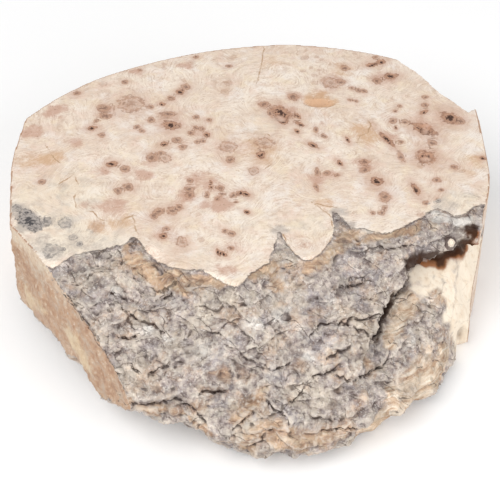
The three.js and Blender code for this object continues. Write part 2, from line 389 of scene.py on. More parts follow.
def measure_line(points: np.ndarray, line: Sequence[Pixel], best: np.ndarray, signed: np.ndarray) -> None:
    """Measure flat points from a line, and keep the distance where the line is the nearest one so far.

    Args:
        points: Places in the plane of the line.
        line: The line's corners.
        best: The smallest distance so far, which this updates.
        signed: The same distance with the sign of its side, which this updates.
    """
    for start, end in zip(line, line[1:]):
        run = np.subtract(end, start)
        offset = points - np.asarray(start)
        share = np.clip(offset @ run / (run @ run), 0.0, 1.0)
        gap = np.linalg.norm(offset - share[:, None] * run, axis=1)
        side = np.sign(run[0] * offset[:, 1] - run[1] * offset[:, 0])
        closer = gap < best
        best[closer] = gap[closer]
        signed[closer] = (gap * side)[closer]


def within(points: np.ndarray, outline: Sequence[Pixel]) -> np.ndarray:
    """Tell which flat points lie inside an outline.

    Args:
        points: Places in the plane of the outline.
        outline: The outline's corners.

    Returns:
        True for each point inside.
    """
    inside = np.zeros(len(points), dtype=bool)
    for start, end in zip(outline, (*outline[1:], outline[0])):
        if start[1] == end[1]:
            continue
        crosses = (points[:, 1] < start[1]) != (points[:, 1] < end[1])
        slope = (end[0] - start[0]) / (end[1] - start[1])
        inside ^= crosses & (points[:, 0] < start[0] + (points[:, 1] - start[1]) * slope)
    return inside


def jagged(line: Sequence[Pixel], step: float, sway: float, draw: random.Random) -> list[Pixel]:
    """Make a line of pixels run in short, uneven strokes.

    Args:
        line: The line's corners.
        step: How long a stroke is, in pixels.
        sway: How far a stroke's end strays from the line, in pixels.
        draw: Where the random numbers come from.

    Returns:
        The corners of the uneven line.
    """
    return [(x + draw.gauss(0.0, sway), y + draw.gauss(0.0, sway)) for x, y in along_line(line, step)]


def shift(place: Vector, waves: Sequence[tuple[float, float]]) -> Vector:
    """Push a point this way and that by smooth noise.

    Args:
        place: A point in millimetres.
        waves: The pitch and the reach of each wave of noise, in millimetres.

    Returns:
        The pushed point.
    """
    pushed = place.copy()
    for pitch, reach in waves:
        pushed += noise.noise_vector(place / pitch) * reach
    return pushed


def work_on(piece: bpy.types.Object) -> None:
    """Make a piece the only selected object and the active one.

    Args:
        piece: The piece to work on.
    """
    bpy.ops.object.select_all(action="DESELECT")
    piece.select_set(True)
    bpy.context.view_layer.objects.active = piece


@dataclass(frozen=True)
class PhotoView:
    """The photograph's camera, and the way from its pixels to the block."""

    target: tuple[float, float, float] = (0.0, -0.0074, 0.045)
    distance: float = 0.9414
    elevation: float = math.radians(42.0)
    focal_pixels: float = 1500.0
    frame_pixels: float = 500.0
    sensor_width: float = 36.0

    @property
    def location(self) -> Vector:
        """Where the camera stands."""
        back = Vector((0.0, -math.cos(self.elevation), math.sin(self.elevation)))
        return Vector(self.target) + back * self.distance

    @property
    def pixels_per_mm(self) -> float:
        """How many pixels a millimetre across the block's middle takes."""
        return self.focal_pixels / self.distance * MM

    def ray(self, pixel: Pixel) -> Vector:
        """Give the direction in which a pixel looks.

        Args:
            pixel: A place in the photograph.

        Returns:
            The unit direction.
        """
        half = self.frame_pixels / 2.0
        right = (pixel[0] - half) / self.focal_pixels
        up = (half - pixel[1]) / self.focal_pixels
        sine, cosine = math.sin(self.elevation), math.cos(self.elevation)
        return Vector((right, up * sine + cosine, up * cosine - sine)).normalized()

    def pixels(self, points: np.ndarray) -> np.ndarray:
        """Find the pixels that show points.

        Args:
            points: Places in millimetres.

        Returns:
            A row of two pixel coordinates for each point.
        """
        sine, cosine = math.sin(self.elevation), math.cos(self.elevation)
        offset = points * MM - np.array(self.location)
        deep = offset @ np.array((0.0, cosine, -sine))
        up = offset @ np.array((0.0, sine, cosine))
        half = self.frame_pixels / 2.0
        right_of = half + self.focal_pixels * offset[:, 0] / deep
        below = half - self.focal_pixels * up / deep
        return np.stack((right_of, below), axis=1)

    def on_height(self, pixel: Pixel, height: float) -> Vector:
        """Find the point of a level plane that a pixel shows.

        Args:
            pixel: A place in the photograph.
            height: The height of the plane.

        Returns:
            The point.
        """
        ray = self.ray(pixel)
        return self.location + ray * ((height - self.location.z) / ray.z)

    def on_surface(self, pixel: Pixel, tree: BVHTree) -> Vector | None:
        """Find the point of a surface that a pixel shows.

        Args:
            pixel: A place in the photograph.
            tree: The surface.

        Returns:
            The point, or None where the pixel looks past the surface.
        """
        return tree.ray_cast(self.location, self.ray(pixel))[0]

    def add_camera(self) -> None:
        """Stand the camera where the photograph was taken."""
        lens = bpy.data.cameras.new("photo_camera")
        lens.sensor_width = self.sensor_width
        lens.lens = self.focal_pixels / self.frame_pixels * self.sensor_width
        camera = bpy.data.objects.new("photo_camera", lens)
        camera.location = self.location
        camera.rotation_euler = (math.pi / 2.0 - self.elevation, 0.0, 0.0)
        bpy.context.scene.collection.objects.link(camera)
        bpy.context.scene.camera = camera


class ShaderGraph:
    """A material's node tree, with short calls for the nodes that the finishes use."""

    def __init__(self, name: str) -> None:
        """Start a material that holds one shader and its output.

        Args:
            name: The material's name.
        """
        self.material = bpy.data.materials.new(name)
        self.material.use_nodes = True
        self.nodes = self.material.node_tree.nodes
        self.links = self.material.node_tree.links
        self.nodes.clear()
        self.output = self.nodes.new("ShaderNodeOutputMaterial")
        self.shader = self.nodes.new("ShaderNodeBsdfPrincipled")
        self.links.new(self.shader.outputs["BSDF"], self.output.inputs["Surface"])
        coordinates = self.nodes.new("ShaderNodeTexCoord")
        self.millimetres = self.vector("SCALE", coordinates.outputs["Object"], scale=1.0 / MM)

    def put(self, socket: bpy.types.NodeSocket, value: object) -> None:
        """Link a socket, or set its value.

        Args:
            socket: The socket that takes the value.
            value: Another node's socket, a number, a colour or a vector.
        """
        if isinstance(value, bpy.types.NodeSocket):
            self.links.new(value, socket)
        elif isinstance(value, tuple) and len(value) == 3 and socket.type == "RGBA":
            socket.default_value = (*value, 1.0)
        else:
            socket.default_value = value

    def math(self, operation: str, *values: object) -> bpy.types.NodeSocket:
        """Add a Math node.

        Args:
            operation: What it does.
            values: Its numbers or linked sockets.

        Returns:
            The result.
        """
        node = self.nodes.new("ShaderNodeMath")
        node.operation = operation
        for socket, value in zip(node.inputs, values):
            self.put(socket, value)
        return node.outputs[0]

    def vector(self, operation: str, *values: object, scale: float | None = None) -> bpy.types.NodeSocket:
        """Add a Vector Math node.

        Args:
            operation: What it does.
            values: Its vectors or linked sockets.
            scale: The factor of a scale.

        Returns:
            The result, a number for a length.
        """
        node = self.nodes.new("ShaderNodeVectorMath")
        node.operation = operation
        for socket, value in zip(node.inputs, values):
            self.put(socket, value)
        if scale is not None:
            node.inputs["Scale"].default_value = scale
        return node.outputs["Value" if operation == "LENGTH" else "Vector"]

    def join(self, x: object, y: object, z: object) -> bpy.types.NodeSocket:
        """Make a vector of three numbers.

        Args:
            x: The first number.
            y: The second number.
            z: The third number.

        Returns:
            The vector.
        """
        node = self.nodes.new("ShaderNodeCombineXYZ")
        for socket, value in zip(node.inputs, (x, y, z)):
            self.put(socket, value)
        return node.outputs["Vector"]

    def split(self, vector: object) -> tuple[bpy.types.NodeSocket, ...]:
        """Take a vector apart.

        Args:
            vector: The linked vector.

        Returns:
            Its three numbers.
        """
        node = self.nodes.new("ShaderNodeSeparateXYZ")
        self.put(node.inputs[0], vector)
        return tuple(node.outputs)

    def step(self, value: object, low: float, high: float) -> bpy.types.NodeSocket:
        """Ease a value from 0 at low to 1 at high.

        Args:
            value: The linked value.
            low: Where the ease starts.
            high: Where it ends.

        Returns:
            The eased value.
        """
        node = self.nodes.new("ShaderNodeMapRange")
        node.interpolation_type = "SMOOTHSTEP"
        self.put(node.inputs["Value"], value)
        node.inputs["From Min"].default_value = low
        node.inputs["From Max"].default_value = high
        return node.outputs["Result"]

    def blend(self, share: object, below: object, above: object) -> bpy.types.NodeSocket:
        """Mix two colours.

        Args:
            share: How much of the second shows.
            below: The first colour.
            above: The second colour.

        Returns:
            The mixed colour.
        """
        node = self.nodes.new("ShaderNodeMix")
        node.data_type = "RGBA"
        self.put(node.inputs[0], share)
        self.put(node.inputs[6], below)
        self.put(node.inputs[7], above)
        return node.outputs[2]

    def shade(self, colour: object, factor: object) -> bpy.types.NodeSocket:
        """Make a colour lighter or darker.

        Args:
            colour: The linked colour.
            factor: What it is multiplied by.

        Returns:
            The new colour.
        """
        node = self.nodes.new("ShaderNodeVectorMath")
        node.operation = "SCALE"
        self.put(node.inputs[0], colour)
        self.put(node.inputs["Scale"], factor)
        return node.outputs["Vector"]

    def times(self, first: object, *others: object) -> bpy.types.NodeSocket:
        """Multiply values.

        Args:
            first: A linked value.
            others: The numbers or linked values that it is multiplied by.

        Returns:
            The product.
        """
        product = first
        for other in others:
            product = self.math("MULTIPLY", product, other)
        return product

    def paint(self, colour: object, tone: object, *shares: object) -> bpy.types.NodeSocket:
        """Lay a tone over a colour.

        Args:
            colour: The colour below.
            tone: The colour above.
            shares: Values whose product says how much of the tone shows.

        Returns:
            The mixed colour.
        """
        return self.blend(self.times(*shares), colour, tone)

    def wander(self, pitch: float, detail: float, width: float,
               roughness: float = 0.7) -> bpy.types.NodeSocket:
        """Add noise about zero, by which a line strays.

        Args:
            pitch: The size of its largest lumps in millimetres.
            detail: How many finer layers it has.
            width: How far it reaches from end to end.
            roughness: How strong the finer layers are.

        Returns:
            The noise.
        """
        return self.math("MULTIPLY_ADD", self.noise(pitch, detail, roughness), width, -width / 2.0)

    def tint(self, tint: Tint) -> bpy.types.NodeSocket:
        """Read how strong a tint is."""
        return self.attribute(tint.value)

    def number(self, share: object, below: object, above: object) -> bpy.types.NodeSocket:
        """Mix two numbers.

        Args:
            share: How much of the second shows.
            below: The first number.
            above: The second number.

        Returns:
            The mixed number.
        """
        node = self.nodes.new("ShaderNodeMix")
        self.put(node.inputs[0], share)
        self.put(node.inputs[2], below)
        self.put(node.inputs[3], above)
        return node.outputs[0]

    def noise(self, pitch: float, detail: float = 4.0, roughness: float = 0.55,
              where: object = None, colour: bool = False) -> bpy.types.NodeSocket:
        """Add fractal noise.

        Args:
            pitch: The size of its largest lumps in millimetres.
            detail: How many finer layers it has.
            roughness: How strong the finer layers are.
            where: Its coordinates, the block's own where none are given.
            colour: Whether three numbers come out instead of one.

        Returns:
            The noise, about 0.5 in the middle.
        """
        node = self.nodes.new("ShaderNodeTexNoise")
        self.put(node.inputs["Vector"], where or self.millimetres)
        node.inputs["Scale"].default_value = 1.0 / pitch
        node.inputs["Detail"].default_value = detail
        node.inputs["Roughness"].default_value = roughness
        return node.outputs["Color" if colour else "Fac"]

    def cells(self, pitch: float, where: object) -> tuple[bpy.types.NodeSocket, bpy.types.NodeSocket]:
        """Add a pattern of cells.

        Args:
            pitch: The size of a cell in millimetres.
            where: Its coordinates.

        Returns:
            A random number for each cell, and the distance from the cells' borders, in cells.
        """
        sockets = []
        for feature, output in (("F1", "Color"), ("DISTANCE_TO_EDGE", "Distance")):
            node = self.nodes.new("ShaderNodeTexVoronoi")
            node.feature = feature
            self.put(node.inputs["Vector"], where)
            node.inputs["Scale"].default_value = 1.0 / pitch
            sockets.append(node.outputs[output])
        return self.split(sockets[0])[0], sockets[1]

    def attribute(self, name: str, output: str = "Fac") -> bpy.types.NodeSocket:
        """Read a mesh attribute.

        Args:
            name: The attribute.
            output: Fac for a number, Vector for a vector.

        Returns:
            Its value.
        """
        node = self.nodes.new("ShaderNodeAttribute")
        node.attribute_name = name
        return node.outputs[output]

    def ramp(self, value: object, *stops: tuple[float, Colour]) -> bpy.types.NodeSocket:
        """Turn a value into a colour.

        Args:
            value: The linked value.
            stops: Places from 0 to 1 with their colours.

        Returns:
            The colour.
        """
        node = self.nodes.new("ShaderNodeValToRGB")
        elements = node.color_ramp.elements
        while len(elements) < len(stops):
            elements.new(0.5)
        for element, (place, colour) in zip(elements, stops):
            element.position = place
            element.color = (*colour, 1.0)
        self.put(node.inputs["Fac"], value)
        return node.outputs["Color"]

    def relief(self, height: object, depth: float) -> None:
        """Give the shader a bump.

        Args:
            height: The linked height, from 0 to 1.
            depth: How deep the height is, in millimetres.
        """
        node = self.nodes.new("ShaderNodeBump")
        node.inputs["Distance"].default_value = depth * MM
        self.put(node.inputs["Height"], height)
        self.links.new(node.outputs["Normal"], self.shader.inputs["Normal"])


@dataclass(frozen=True)
class BurlFinish:
    """Sawn burl with its eyes, the saw walls, the bark and the pale hollow, in one finish."""

    pale_wood: Colour = from_screen(232, 219, 204)
    wood: Colour = from_screen(223, 206, 189)
    warm_wood: Colour = from_screen(212, 189, 170)
    pale_line: Colour = from_screen(244, 234, 221)
    growth_line: Colour = from_screen(176, 148, 127)
    rose_wood: Colour = from_screen(190, 153, 134)
    honey_wood: Colour = from_screen(196, 156, 118)
    sapwood: Colour = from_screen(230, 218, 196)
    grey_stain: Colour = from_screen(160, 152, 146)
    pink_cloud: Colour = from_screen(222, 194, 178)
    yellow_cloud: Colour = from_screen(229, 211, 180)
    white_cloud: Colour = from_screen(233, 227, 221)
    seam: Colour = from_screen(174, 142, 112)
    eye_rim: Colour = from_screen(176, 136, 112)
    eye_ring: Colour = from_screen(134, 98, 80)
    eye_core: Colour = from_screen(66, 43, 34)
    eye_grey: Colour = from_screen(74, 71, 72)
    dusk: Colour = from_screen(203, 187, 174)
    rim: Colour = from_screen(156, 112, 80)
    wall_dark: Colour = from_screen(146, 108, 82)
    wall_wood: Colour = from_screen(173, 139, 111)
    wall_pale: Colour = from_screen(198, 170, 141)
    wall_yellow: Colour = from_screen(214, 195, 162)
    wall_grey: Colour = from_screen(160, 146, 136)
    # Dark bark, also laid as painted shade in the bark's wider hollows
    bark_deep: Colour = from_screen(104, 90, 85)
    bark_grey: Colour = from_screen(160, 148, 144)
    bark: Colour = from_screen(188, 175, 166)
    # Pale bark, also laid as a painted highlight on the bark's ridges
    bark_pale: Colour = from_screen(212, 201, 188)
    bark_tan: Colour = from_screen(200, 166, 136)
    bark_cool: Colour = from_screen(168, 163, 166)
    bark_cream: Colour = from_screen(216, 202, 182)
    bark_dark: Colour = from_screen(112, 103, 102)
    inner_dark: Colour = from_screen(136, 102, 78)
    inner_bark: Colour = from_screen(188, 155, 125)
    inner_pale: Colour = from_screen(213, 188, 158)
    chalk: Colour = from_screen(234, 229, 222)
    # Dark of the bark's pits and the knots' outlines, and painted shade in gaps and along the wood's edge
    pit_and_gap_shade: Colour = from_screen(88, 73, 69)
    # Painted shade in crevices, cracks and under the bark's flakes
    crevice_shade: Colour = from_screen(52, 38, 32)
    cream: Colour = from_screen(229, 216, 198)
    cream_line: Colour = from_screen(206, 184, 158)
    beige: Colour = from_screen(214, 192, 166)
    beige_line: Colour = from_screen(172, 136, 104)
    # Painted shade under the ledge: warm with bounced light, and deep brown
    amber: Colour = from_screen(140, 82, 34)
    burnt: Colour = from_screen(50, 27, 12)
    line_pitch: float = 1.2
    line_run: float = 12.0
    fine_pitch: float = 0.6
    fine_run: float = 7.0
    streak_pitch: float = 1.0 / 6.0
    streak_run: float = 16.0
    scale_light: float = 0.93
    wood_roughness: float = 0.6
    bark_roughness: float = 0.93
    gloss: float = 0.3
    relief_depth: float = 1.1

    def material(self) -> bpy.types.Material:
        """Make the finish.

        Returns:
            The material.
        """
        graph = ShaderGraph("burl_wood")
        wood, grain = self.sawn_wood(graph)
        wall = self.saw_wall(graph, wood)
        bark, crumbs = self.bark_skin(graph)
        on_wall = graph.attribute("saw_wall")
        colour = graph.blend(graph.step(on_wall, 0.5, 0.75), wood, wall)
        at_rim = graph.times(graph.step(on_wall, 0.3, 0.5), graph.step(on_wall, 0.85, 0.6))
        unweathered = graph.math("MULTIPLY_ADD", graph.tint(Tint.WEATHERED_WALL), -0.7, 0.8)
        colour = graph.paint(colour, self.rim, at_rim, unweathered)
        edge = graph.math("ADD", graph.attribute("wood_edge"), graph.wander(5.0, 5.0, 7.0))
        on_bark = graph.step(edge, -0.6, 0.9)
        colour = graph.blend(on_bark, colour, bark)
        # Painted shadow: a thin dark line along the wood's edge at the bark
        shadow = graph.times(graph.step(edge, -0.6, 0.6), graph.step(edge, 2.2, 0.9))
        broken = graph.step(graph.noise(9.0, 3.0), 0.42, 0.6)
        colour = graph.paint(colour, self.pit_and_gap_shade, shadow, broken, 0.6)
        colour = self.cracks(graph, colour)
        graph.put(graph.shader.inputs["Base Color"], colour)
        roughness = graph.number(on_bark, self.wood_roughness, self.bark_roughness)
        graph.put(graph.shader.inputs["Roughness"], roughness)
        graph.shader.inputs["Specular IOR Level"].default_value = self.gloss
        graph.relief(graph.number(on_bark, grain, crumbs), self.relief_depth)
        return graph.material

    def sawn_wood(self, graph: ShaderGraph) -> tuple[bpy.types.NodeSocket, bpy.types.NodeSocket]:
        """Paint the figure of the burl: clouds, growth lines, stains, seams, the rim and the eyes.

        Args:
            graph: The material's nodes.

        Returns:
            The colour and the height.
        """
        colour, fine, fibre, dark_line = self.growth_lines(graph, self.clouds(graph))
        colour = self.stains(graph, colour, fine, fibre)
        colour = self.seams(graph, colour)
        rim = graph.math("MULTIPLY_ADD", graph.noise(6.0, 3.0), 0.5, graph.attribute("rim"))
        colour = graph.paint(colour, self.rim, graph.step(rim, 0.6, 1.1), 0.8)
        colour = self.eyes(graph, colour, fibre)
        return colour, graph.math("MULTIPLY_ADD", fibre, 0.05, graph.times(dark_line, -0.06))

    def clouds(self, graph: ShaderGraph) -> bpy.types.NodeSocket:
        """Paint the broad tones of the wood.

        Args:
            graph: The material's nodes.

        Returns:
            The colour.
        """
        broad = graph.noise(34.0, 4.0)
        colour = graph.ramp(broad, (0.36, self.pale_wood), (0.52, self.wood), (0.7, self.warm_wood))
        for pitch, detail, roughness, low, tone, share in (
            (5.0, 5.0, 0.7, 0.46, self.dusk, 0.5),
            (11.0, 6.0, 0.68, 0.48, self.pink_cloud, 0.5),
            (13.0, 6.0, 0.68, 0.48, self.yellow_cloud, 0.45),
            (16.0, 6.0, 0.68, 0.48, self.white_cloud, 0.55),
        ):
            cloud = graph.step(graph.noise(pitch, detail, roughness), low, 0.66)
            colour = graph.paint(colour, tone, cloud, share)
        return colour

    @staticmethod
    def grain(graph: ShaderGraph, field: object, pitch: float, run: float, detail: float,
              roughness: float) -> bpy.types.NodeSocket:
        """Make noise that runs along the level lines of a field.

        Args:
            graph: The material's nodes.
            field: The field.
            pitch: How far apart its lines are.
            run: How long they are, in millimetres.
            detail: How many finer layers the noise has.
            roughness: How strong the finer layers are.

        Returns:
            The noise.
        """
        across, along, _ = graph.split(graph.millimetres)
        scaled = ((field, pitch), (across, run), (along, run))
        where = graph.join(*(graph.math("DIVIDE", value, size) for value, size in scaled))
        return graph.noise(1.0, detail, roughness, where=where)

    def growth_lines(self, graph: ShaderGraph,
                     wood: bpy.types.NodeSocket) -> tuple[bpy.types.NodeSocket, ...]:
        """Draw the growth lines and the fibres on the wood.

        Args:
            graph: The material's nodes.
            wood: The wood's colour.

        Returns:
            The colour, the fine lines, the fibres and the dark lines.
        """
        ripple = graph.math("MULTIPLY_ADD", graph.noise(4.0, 4.0, 0.7), 4.2, graph.attribute("growth"))
        grain = self.grain(graph, ripple, self.line_pitch, self.line_run, 4.0, 0.65)
        fine = self.grain(graph, ripple, self.fine_pitch, self.fine_run, 2.0, 0.6)
        fibre = graph.noise(1.3, 3.0, 0.7)
        figured = graph.step(graph.noise(20.0, 3.0), 0.36, 0.62)
        dark_line = graph.times(graph.step(grain, 0.5, 0.7), graph.math("MULTIPLY_ADD", figured, 0.3, 0.14))
        colour = graph.paint(wood, self.pale_line, graph.step(grain, 0.48, 0.3), 0.4)
        colour = graph.blend(dark_line, colour, self.growth_line)
        colour = graph.paint(colour, self.growth_line, graph.step(fine, 0.52, 0.72), 0.4)
        colour = graph.paint(colour, self.pale_line, graph.step(fine, 0.46, 0.28), 0.35)
        colour = graph.paint(colour, self.growth_line, graph.step(fibre, 0.52, 0.7), 0.32)
        return colour, fine, fibre, dark_line

    def stains(self, graph: ShaderGraph, wood: bpy.types.NodeSocket, fine: bpy.types.NodeSocket,
               fibre: bpy.types.NodeSocket) -> bpy.types.NodeSocket:
        """Paint the stains of the wood, ragged along its fibres.

        Args:
            graph: The material's nodes.
            wood: The wood's colour.
            fine: The fine growth lines.
            fibre: The fine noise of the wood.

        Returns:
            The colour with the stains.
        """
        patchy = graph.noise(7.0, 5.0, 0.65)
        halo = graph.step(graph.math("MULTIPLY_ADD", patchy, 0.9, graph.attribute("halo")), 0.5, 1.3)
        ungreyed = graph.step(graph.tint(Tint.GREY_STAIN), 0.1, 0.0)
        colour = graph.paint(wood, self.rose_wood, halo, ungreyed, 0.55)
        for tint, tone, share in (
            (Tint.SAPWOOD, self.sapwood, 0.45),
            (Tint.ROSE, self.rose_wood, 0.85),
            (Tint.HONEY, self.honey_wood, 0.75),
            (Tint.GREY_STAIN, self.grey_stain, 0.65),
        ):
            ragged = graph.math("MULTIPLY_ADD", patchy, 1.2, graph.tint(tint))
            streaked = graph.math("MULTIPLY_ADD", fine, 0.8, graph.math("MULTIPLY_ADD", fibre, 0.6, ragged))
            colour = graph.paint(colour, tone, graph.step(streaked, 1.3, 2.2), share)
        flecks = graph.step(graph.noise(1.7, 3.0), 0.58, 0.7)
        colour = graph.paint(colour, self.eye_ring, graph.tint(Tint.ROSE), flecks, 0.7)
        dull = graph.step(graph.noise(10.0, 5.0, 0.6), 0.45, 0.65)
        return graph.paint(colour, self.grey_stain, graph.tint(Tint.SAPWOOD), dull, 0.4)

    def seams(self, graph: ShaderGraph, wood: bpy.types.NodeSocket) -> bpy.types.NodeSocket:
        """Draw the seams between the lobes of the burl.

        Args:
            graph: The material's nodes.
            wood: The wood's colour.

        Returns:
            The colour with the seams.
        """
        gap = graph.math("ABSOLUTE", graph.math("ADD", graph.attribute("seam"), graph.wander(5.0, 4.0, 3.2)))
        broken = graph.step(graph.noise(11.0, 2.0), 0.4, 0.62)
        return graph.paint(wood, self.seam, graph.attribute("seam_near"), graph.step(gap, 0.7, 0.1), broken)

    def eyes(self, graph: ShaderGraph, wood: bpy.types.NodeSocket,
             fibre: bpy.types.NodeSocket) -> bpy.types.NodeSocket:
        """Paint the eyes on the wood: a brown body with a ring round it, and dark flecks in its core.

        Args:
            graph: The material's nodes.
            wood: The wood's colour.
            fibre: The fine noise of the wood.

        Returns:
            The colour with the eyes.
        """
        greyed = graph.step(graph.tint(Tint.GREY_STAIN), 0.0, 0.12)
        rim = graph.blend(greyed, self.eye_rim, self.grey_stain)
        ring = graph.blend(greyed, self.eye_ring, self.eye_grey)
        heart = graph.blend(greyed, self.eye_core, self.eye_grey)
        jitter = graph.vector("SUBTRACT", graph.noise(3.0, 3.0, 0.65, colour=True), (0.5, 0.5, 0.5))
        jitter = graph.vector("SCALE", jitter, scale=1.5)
        place = graph.vector("ADD", graph.attribute("eye", "Vector"), jitter)
        reach = graph.vector("LENGTH", graph.vector("MULTIPLY", place, (1.0, 1.0, 0.0)))
        near, tone, ringed = (graph.attribute(name) for name in ("eye_near", "eye_tone", "eye_ringed"))
        shown = graph.times(near, tone)
        mottled = graph.math("MULTIPLY_ADD", fibre, 1.1, 0.4)
        plain = graph.math("MULTIPLY_ADD", ringed, -0.55, 1.0)
        colour = graph.paint(wood, rim, graph.step(reach, 1.25, 0.75), mottled, shown, plain)
        wave = graph.math("SINE", graph.math("MULTIPLY_ADD", reach, 11.0, -1.0))
        rings = graph.times(graph.step(wave, 0.0, 0.9), graph.step(reach, 1.5, 1.0))
        colour = graph.paint(colour, rim, rings, near, graph.math("MULTIPLY_ADD", ringed, 0.45, 0.1))
        outline = graph.step(graph.math("ABSOLUTE", graph.math("SUBTRACT", reach, 0.92)), 0.22, 0.04)
        patchy = graph.step(graph.noise(2.4, 2.0), 0.4, 0.6)
        colour = graph.paint(colour, ring, outline, patchy, shown, 0.75)
        flecks = graph.math("MULTIPLY_ADD", graph.noise(1.5, 2.0), 1.5, graph.times(reach, -1.0))
        filled = graph.math("MULTIPLY_ADD", ringed, -0.5, 1.0)
        return graph.paint(colour, heart, graph.step(flecks, 0.1, 0.55), shown, tone, filled)

    def saw_wall(self, graph: ShaderGraph, wood: bpy.types.NodeSocket) -> bpy.types.NodeSocket:
        """Paint the upright saw cuts: the burl's figure under saw marks, and weathered wood at the left.

        Args:
            graph: The material's nodes.
            wood: The wood's colour.

        Returns:
            The colour.
        """
        clouds = graph.noise(9.0, 8.0, 0.74)
        colour = graph.ramp(clouds, (0.36, self.wall_dark), (0.5, self.wall_wood), (0.64, self.wall_pale))
        weathered = graph.tint(Tint.WEATHERED_WALL)
        colour = graph.blend(graph.math("MULTIPLY_ADD", weathered, -0.66, 0.76), colour, wood)
        upright = graph.vector("MULTIPLY", graph.millimetres, (1.0, 1.0, 0.1))
        marks = graph.step(graph.noise(1.8, 4.0, 0.7, where=upright), 0.5, 0.7)
        marked = graph.math("MULTIPLY_ADD", weathered, -0.16, 0.34)
        colour = graph.paint(colour, self.wall_dark, marks, marked)
        patchy = graph.noise(9.0, 6.0, 0.7)
        colour = graph.paint(colour, self.wall_grey, graph.step(patchy, 0.48, 0.62), weathered, 0.6)
        yellow = graph.math("MULTIPLY_ADD", patchy, 2.4, graph.tint(Tint.YELLOW_WALL))
        colour = graph.paint(colour, self.wall_yellow, graph.step(yellow, 1.2, 2.4), 0.65)
        height = graph.split(graph.millimetres)[2]
        upper = graph.step(graph.math("MULTIPLY_ADD", patchy, 26.0, height), 84.0, 104.0)
        colour = graph.paint(colour, self.sapwood, upper, weathered, 0.5)
        grit = graph.noise(3.2, 6.0, 0.8)
        colour = graph.paint(colour, self.sapwood, graph.step(grit, 0.54, 0.66), weathered, 0.5)
        return graph.paint(colour, self.wall_dark, graph.step(grit, 0.46, 0.36), weathered, 0.55)

    def bark_skin(self, graph: ShaderGraph) -> tuple[bpy.types.NodeSocket, bpy.types.NodeSocket]:
        """Paint the bark, the inner bark, the hollow and the knots, with painted shade under the ledge and
        painted light and shade from the bark's relief.

        Args:
            graph: The material's nodes.

        Returns:
            The colour and the height.
        """
        mottle = graph.noise(8.0, 8.0, 0.75)
        speck = graph.noise(1.7, 4.0, 0.75)
        patchy = graph.noise(7.0, 6.0, 0.72)
        colour = self.bark_tones(graph, mottle, patchy)
        colour = self.bark_scales(graph, colour, speck, patchy)
        hollow, in_hollow = self.hollow(graph, mottle)
        colour = graph.blend(in_hollow, colour, hollow)
        crumbly = graph.math("MULTIPLY_ADD", in_hollow, -0.8, 1.0)
        colour = self.crevices(graph, colour, crumbly)
        # Painted shade under the ledge, warm first and then deep brown
        for tint, tone in ((Tint.AMBER_SHADE, self.amber), (Tint.BURNT_SHADE, self.burnt)):
            shade = graph.math("MULTIPLY_ADD", patchy, 0.6, graph.tint(tint))
            colour = graph.paint(colour, tone, graph.step(shade, 0.4, 1.2), 0.92)
        colour = self.knots(graph, colour)
        height = graph.math("MULTIPLY_ADD", speck, 0.35, graph.times(mottle, 0.9))
        calm = graph.math("MULTIPLY_ADD", graph.tint(Tint.BEIGE_FLANK), -0.5, crumbly)
        return colour, graph.times(height, calm)

    def bark_tones(self, graph: ShaderGraph, mottle: bpy.types.NodeSocket,
                   patchy: bpy.types.NodeSocket) -> bpy.types.NodeSocket:
        """Paint the broad tones of the bark and the streaks of the inner bark.

        Args:
            graph: The material's nodes.
            mottle: The noise of the bark's grey.
            patchy: The noise that breaks the tints' edges.

        Returns:
            The colour.
        """
        colour = graph.ramp(
            mottle, (0.36, self.bark_deep), (0.45, self.bark_grey), (0.52, self.bark), (0.6, self.bark_pale))
        for pitch, tone in ((15.0, self.bark_tan), (19.0, self.bark_cool), (23.0, self.bark_cream)):
            blotch = graph.step(graph.noise(pitch, 8.0, 0.72), 0.49, 0.62)
            colour = graph.paint(colour, tone, blotch, 0.5)
        phase = graph.split(graph.attribute("flake", "Vector"))[0]
        streak = self.grain(graph, phase, self.streak_pitch, self.streak_run, 4.0, 0.65)
        inner = graph.ramp(streak, (0.34, self.inner_dark), (0.5, self.inner_bark), (0.66, self.inner_pale))
        smooth = graph.ramp(streak, (0.34, self.cream), (0.48, self.beige), (0.62, self.beige_line))
        for tint, tone, share in (
            (Tint.INNER_BARK, inner, 0.85),
            (Tint.DARK_BARK, self.bark_dark, 0.65),
            (Tint.CHALKY_BARK, self.chalk, 0.8),
            (Tint.BEIGE_FLANK, smooth, 0.8),
        ):
            ragged = graph.math("MULTIPLY_ADD", patchy, 1.6, graph.tint(tint))
            colour = graph.paint(colour, tone, graph.step(ragged, 0.95, 1.75), share)
        return colour

    def bark_scales(self, graph: ShaderGraph, bark: bpy.types.NodeSocket, speck: bpy.types.NodeSocket,
                    patchy: bpy.types.NodeSocket) -> bpy.types.NodeSocket:
        """Break the bark into scales of uneven lightness, with painted shade in the thin gaps between them,
        and strew grains over them.

        Args:
            graph: The material's nodes.
            bark: The bark's colour.
            speck: The noise of the grains.
            patchy: The noise that breaks the gaps.

        Returns:
            The colour with the scales.
        """
        bend = graph.vector("SCALE", graph.noise(3.4, 4.0, 0.7, colour=True), scale=5.0)
        torn = graph.vector("ADD", graph.millimetres, bend)
        fibrous = graph.math("MAXIMUM", graph.tint(Tint.INNER_BARK), graph.tint(Tint.BEIGE_FLANK))
        scaly = graph.math("MULTIPLY_ADD", fibrous, -0.8, 1.0)
        broken = graph.step(patchy, 0.46, 0.58)
        colour = bark
        for pitch, spread, share in ((8.5, 0.32, 0.6), (3.8, 0.36, 0.45)):
            lightness, border = graph.cells(pitch, torn)
            lowest = self.scale_light - spread / 2.0
            colour = graph.shade(colour, graph.math("MULTIPLY_ADD", lightness, spread, lowest))
            # Painted shade in the thin gaps between the scales
            colour = graph.paint(colour, self.pit_and_gap_shade, graph.step(border, 0.06, 0.015), broken, scaly, share)
        colour = graph.paint(colour, self.chalk, graph.step(speck, 0.56, 0.64), scaly, 0.5)
        return graph.paint(colour, self.pit_and_gap_shade, graph.step(speck, 0.42, 0.34), scaly, 0.42)

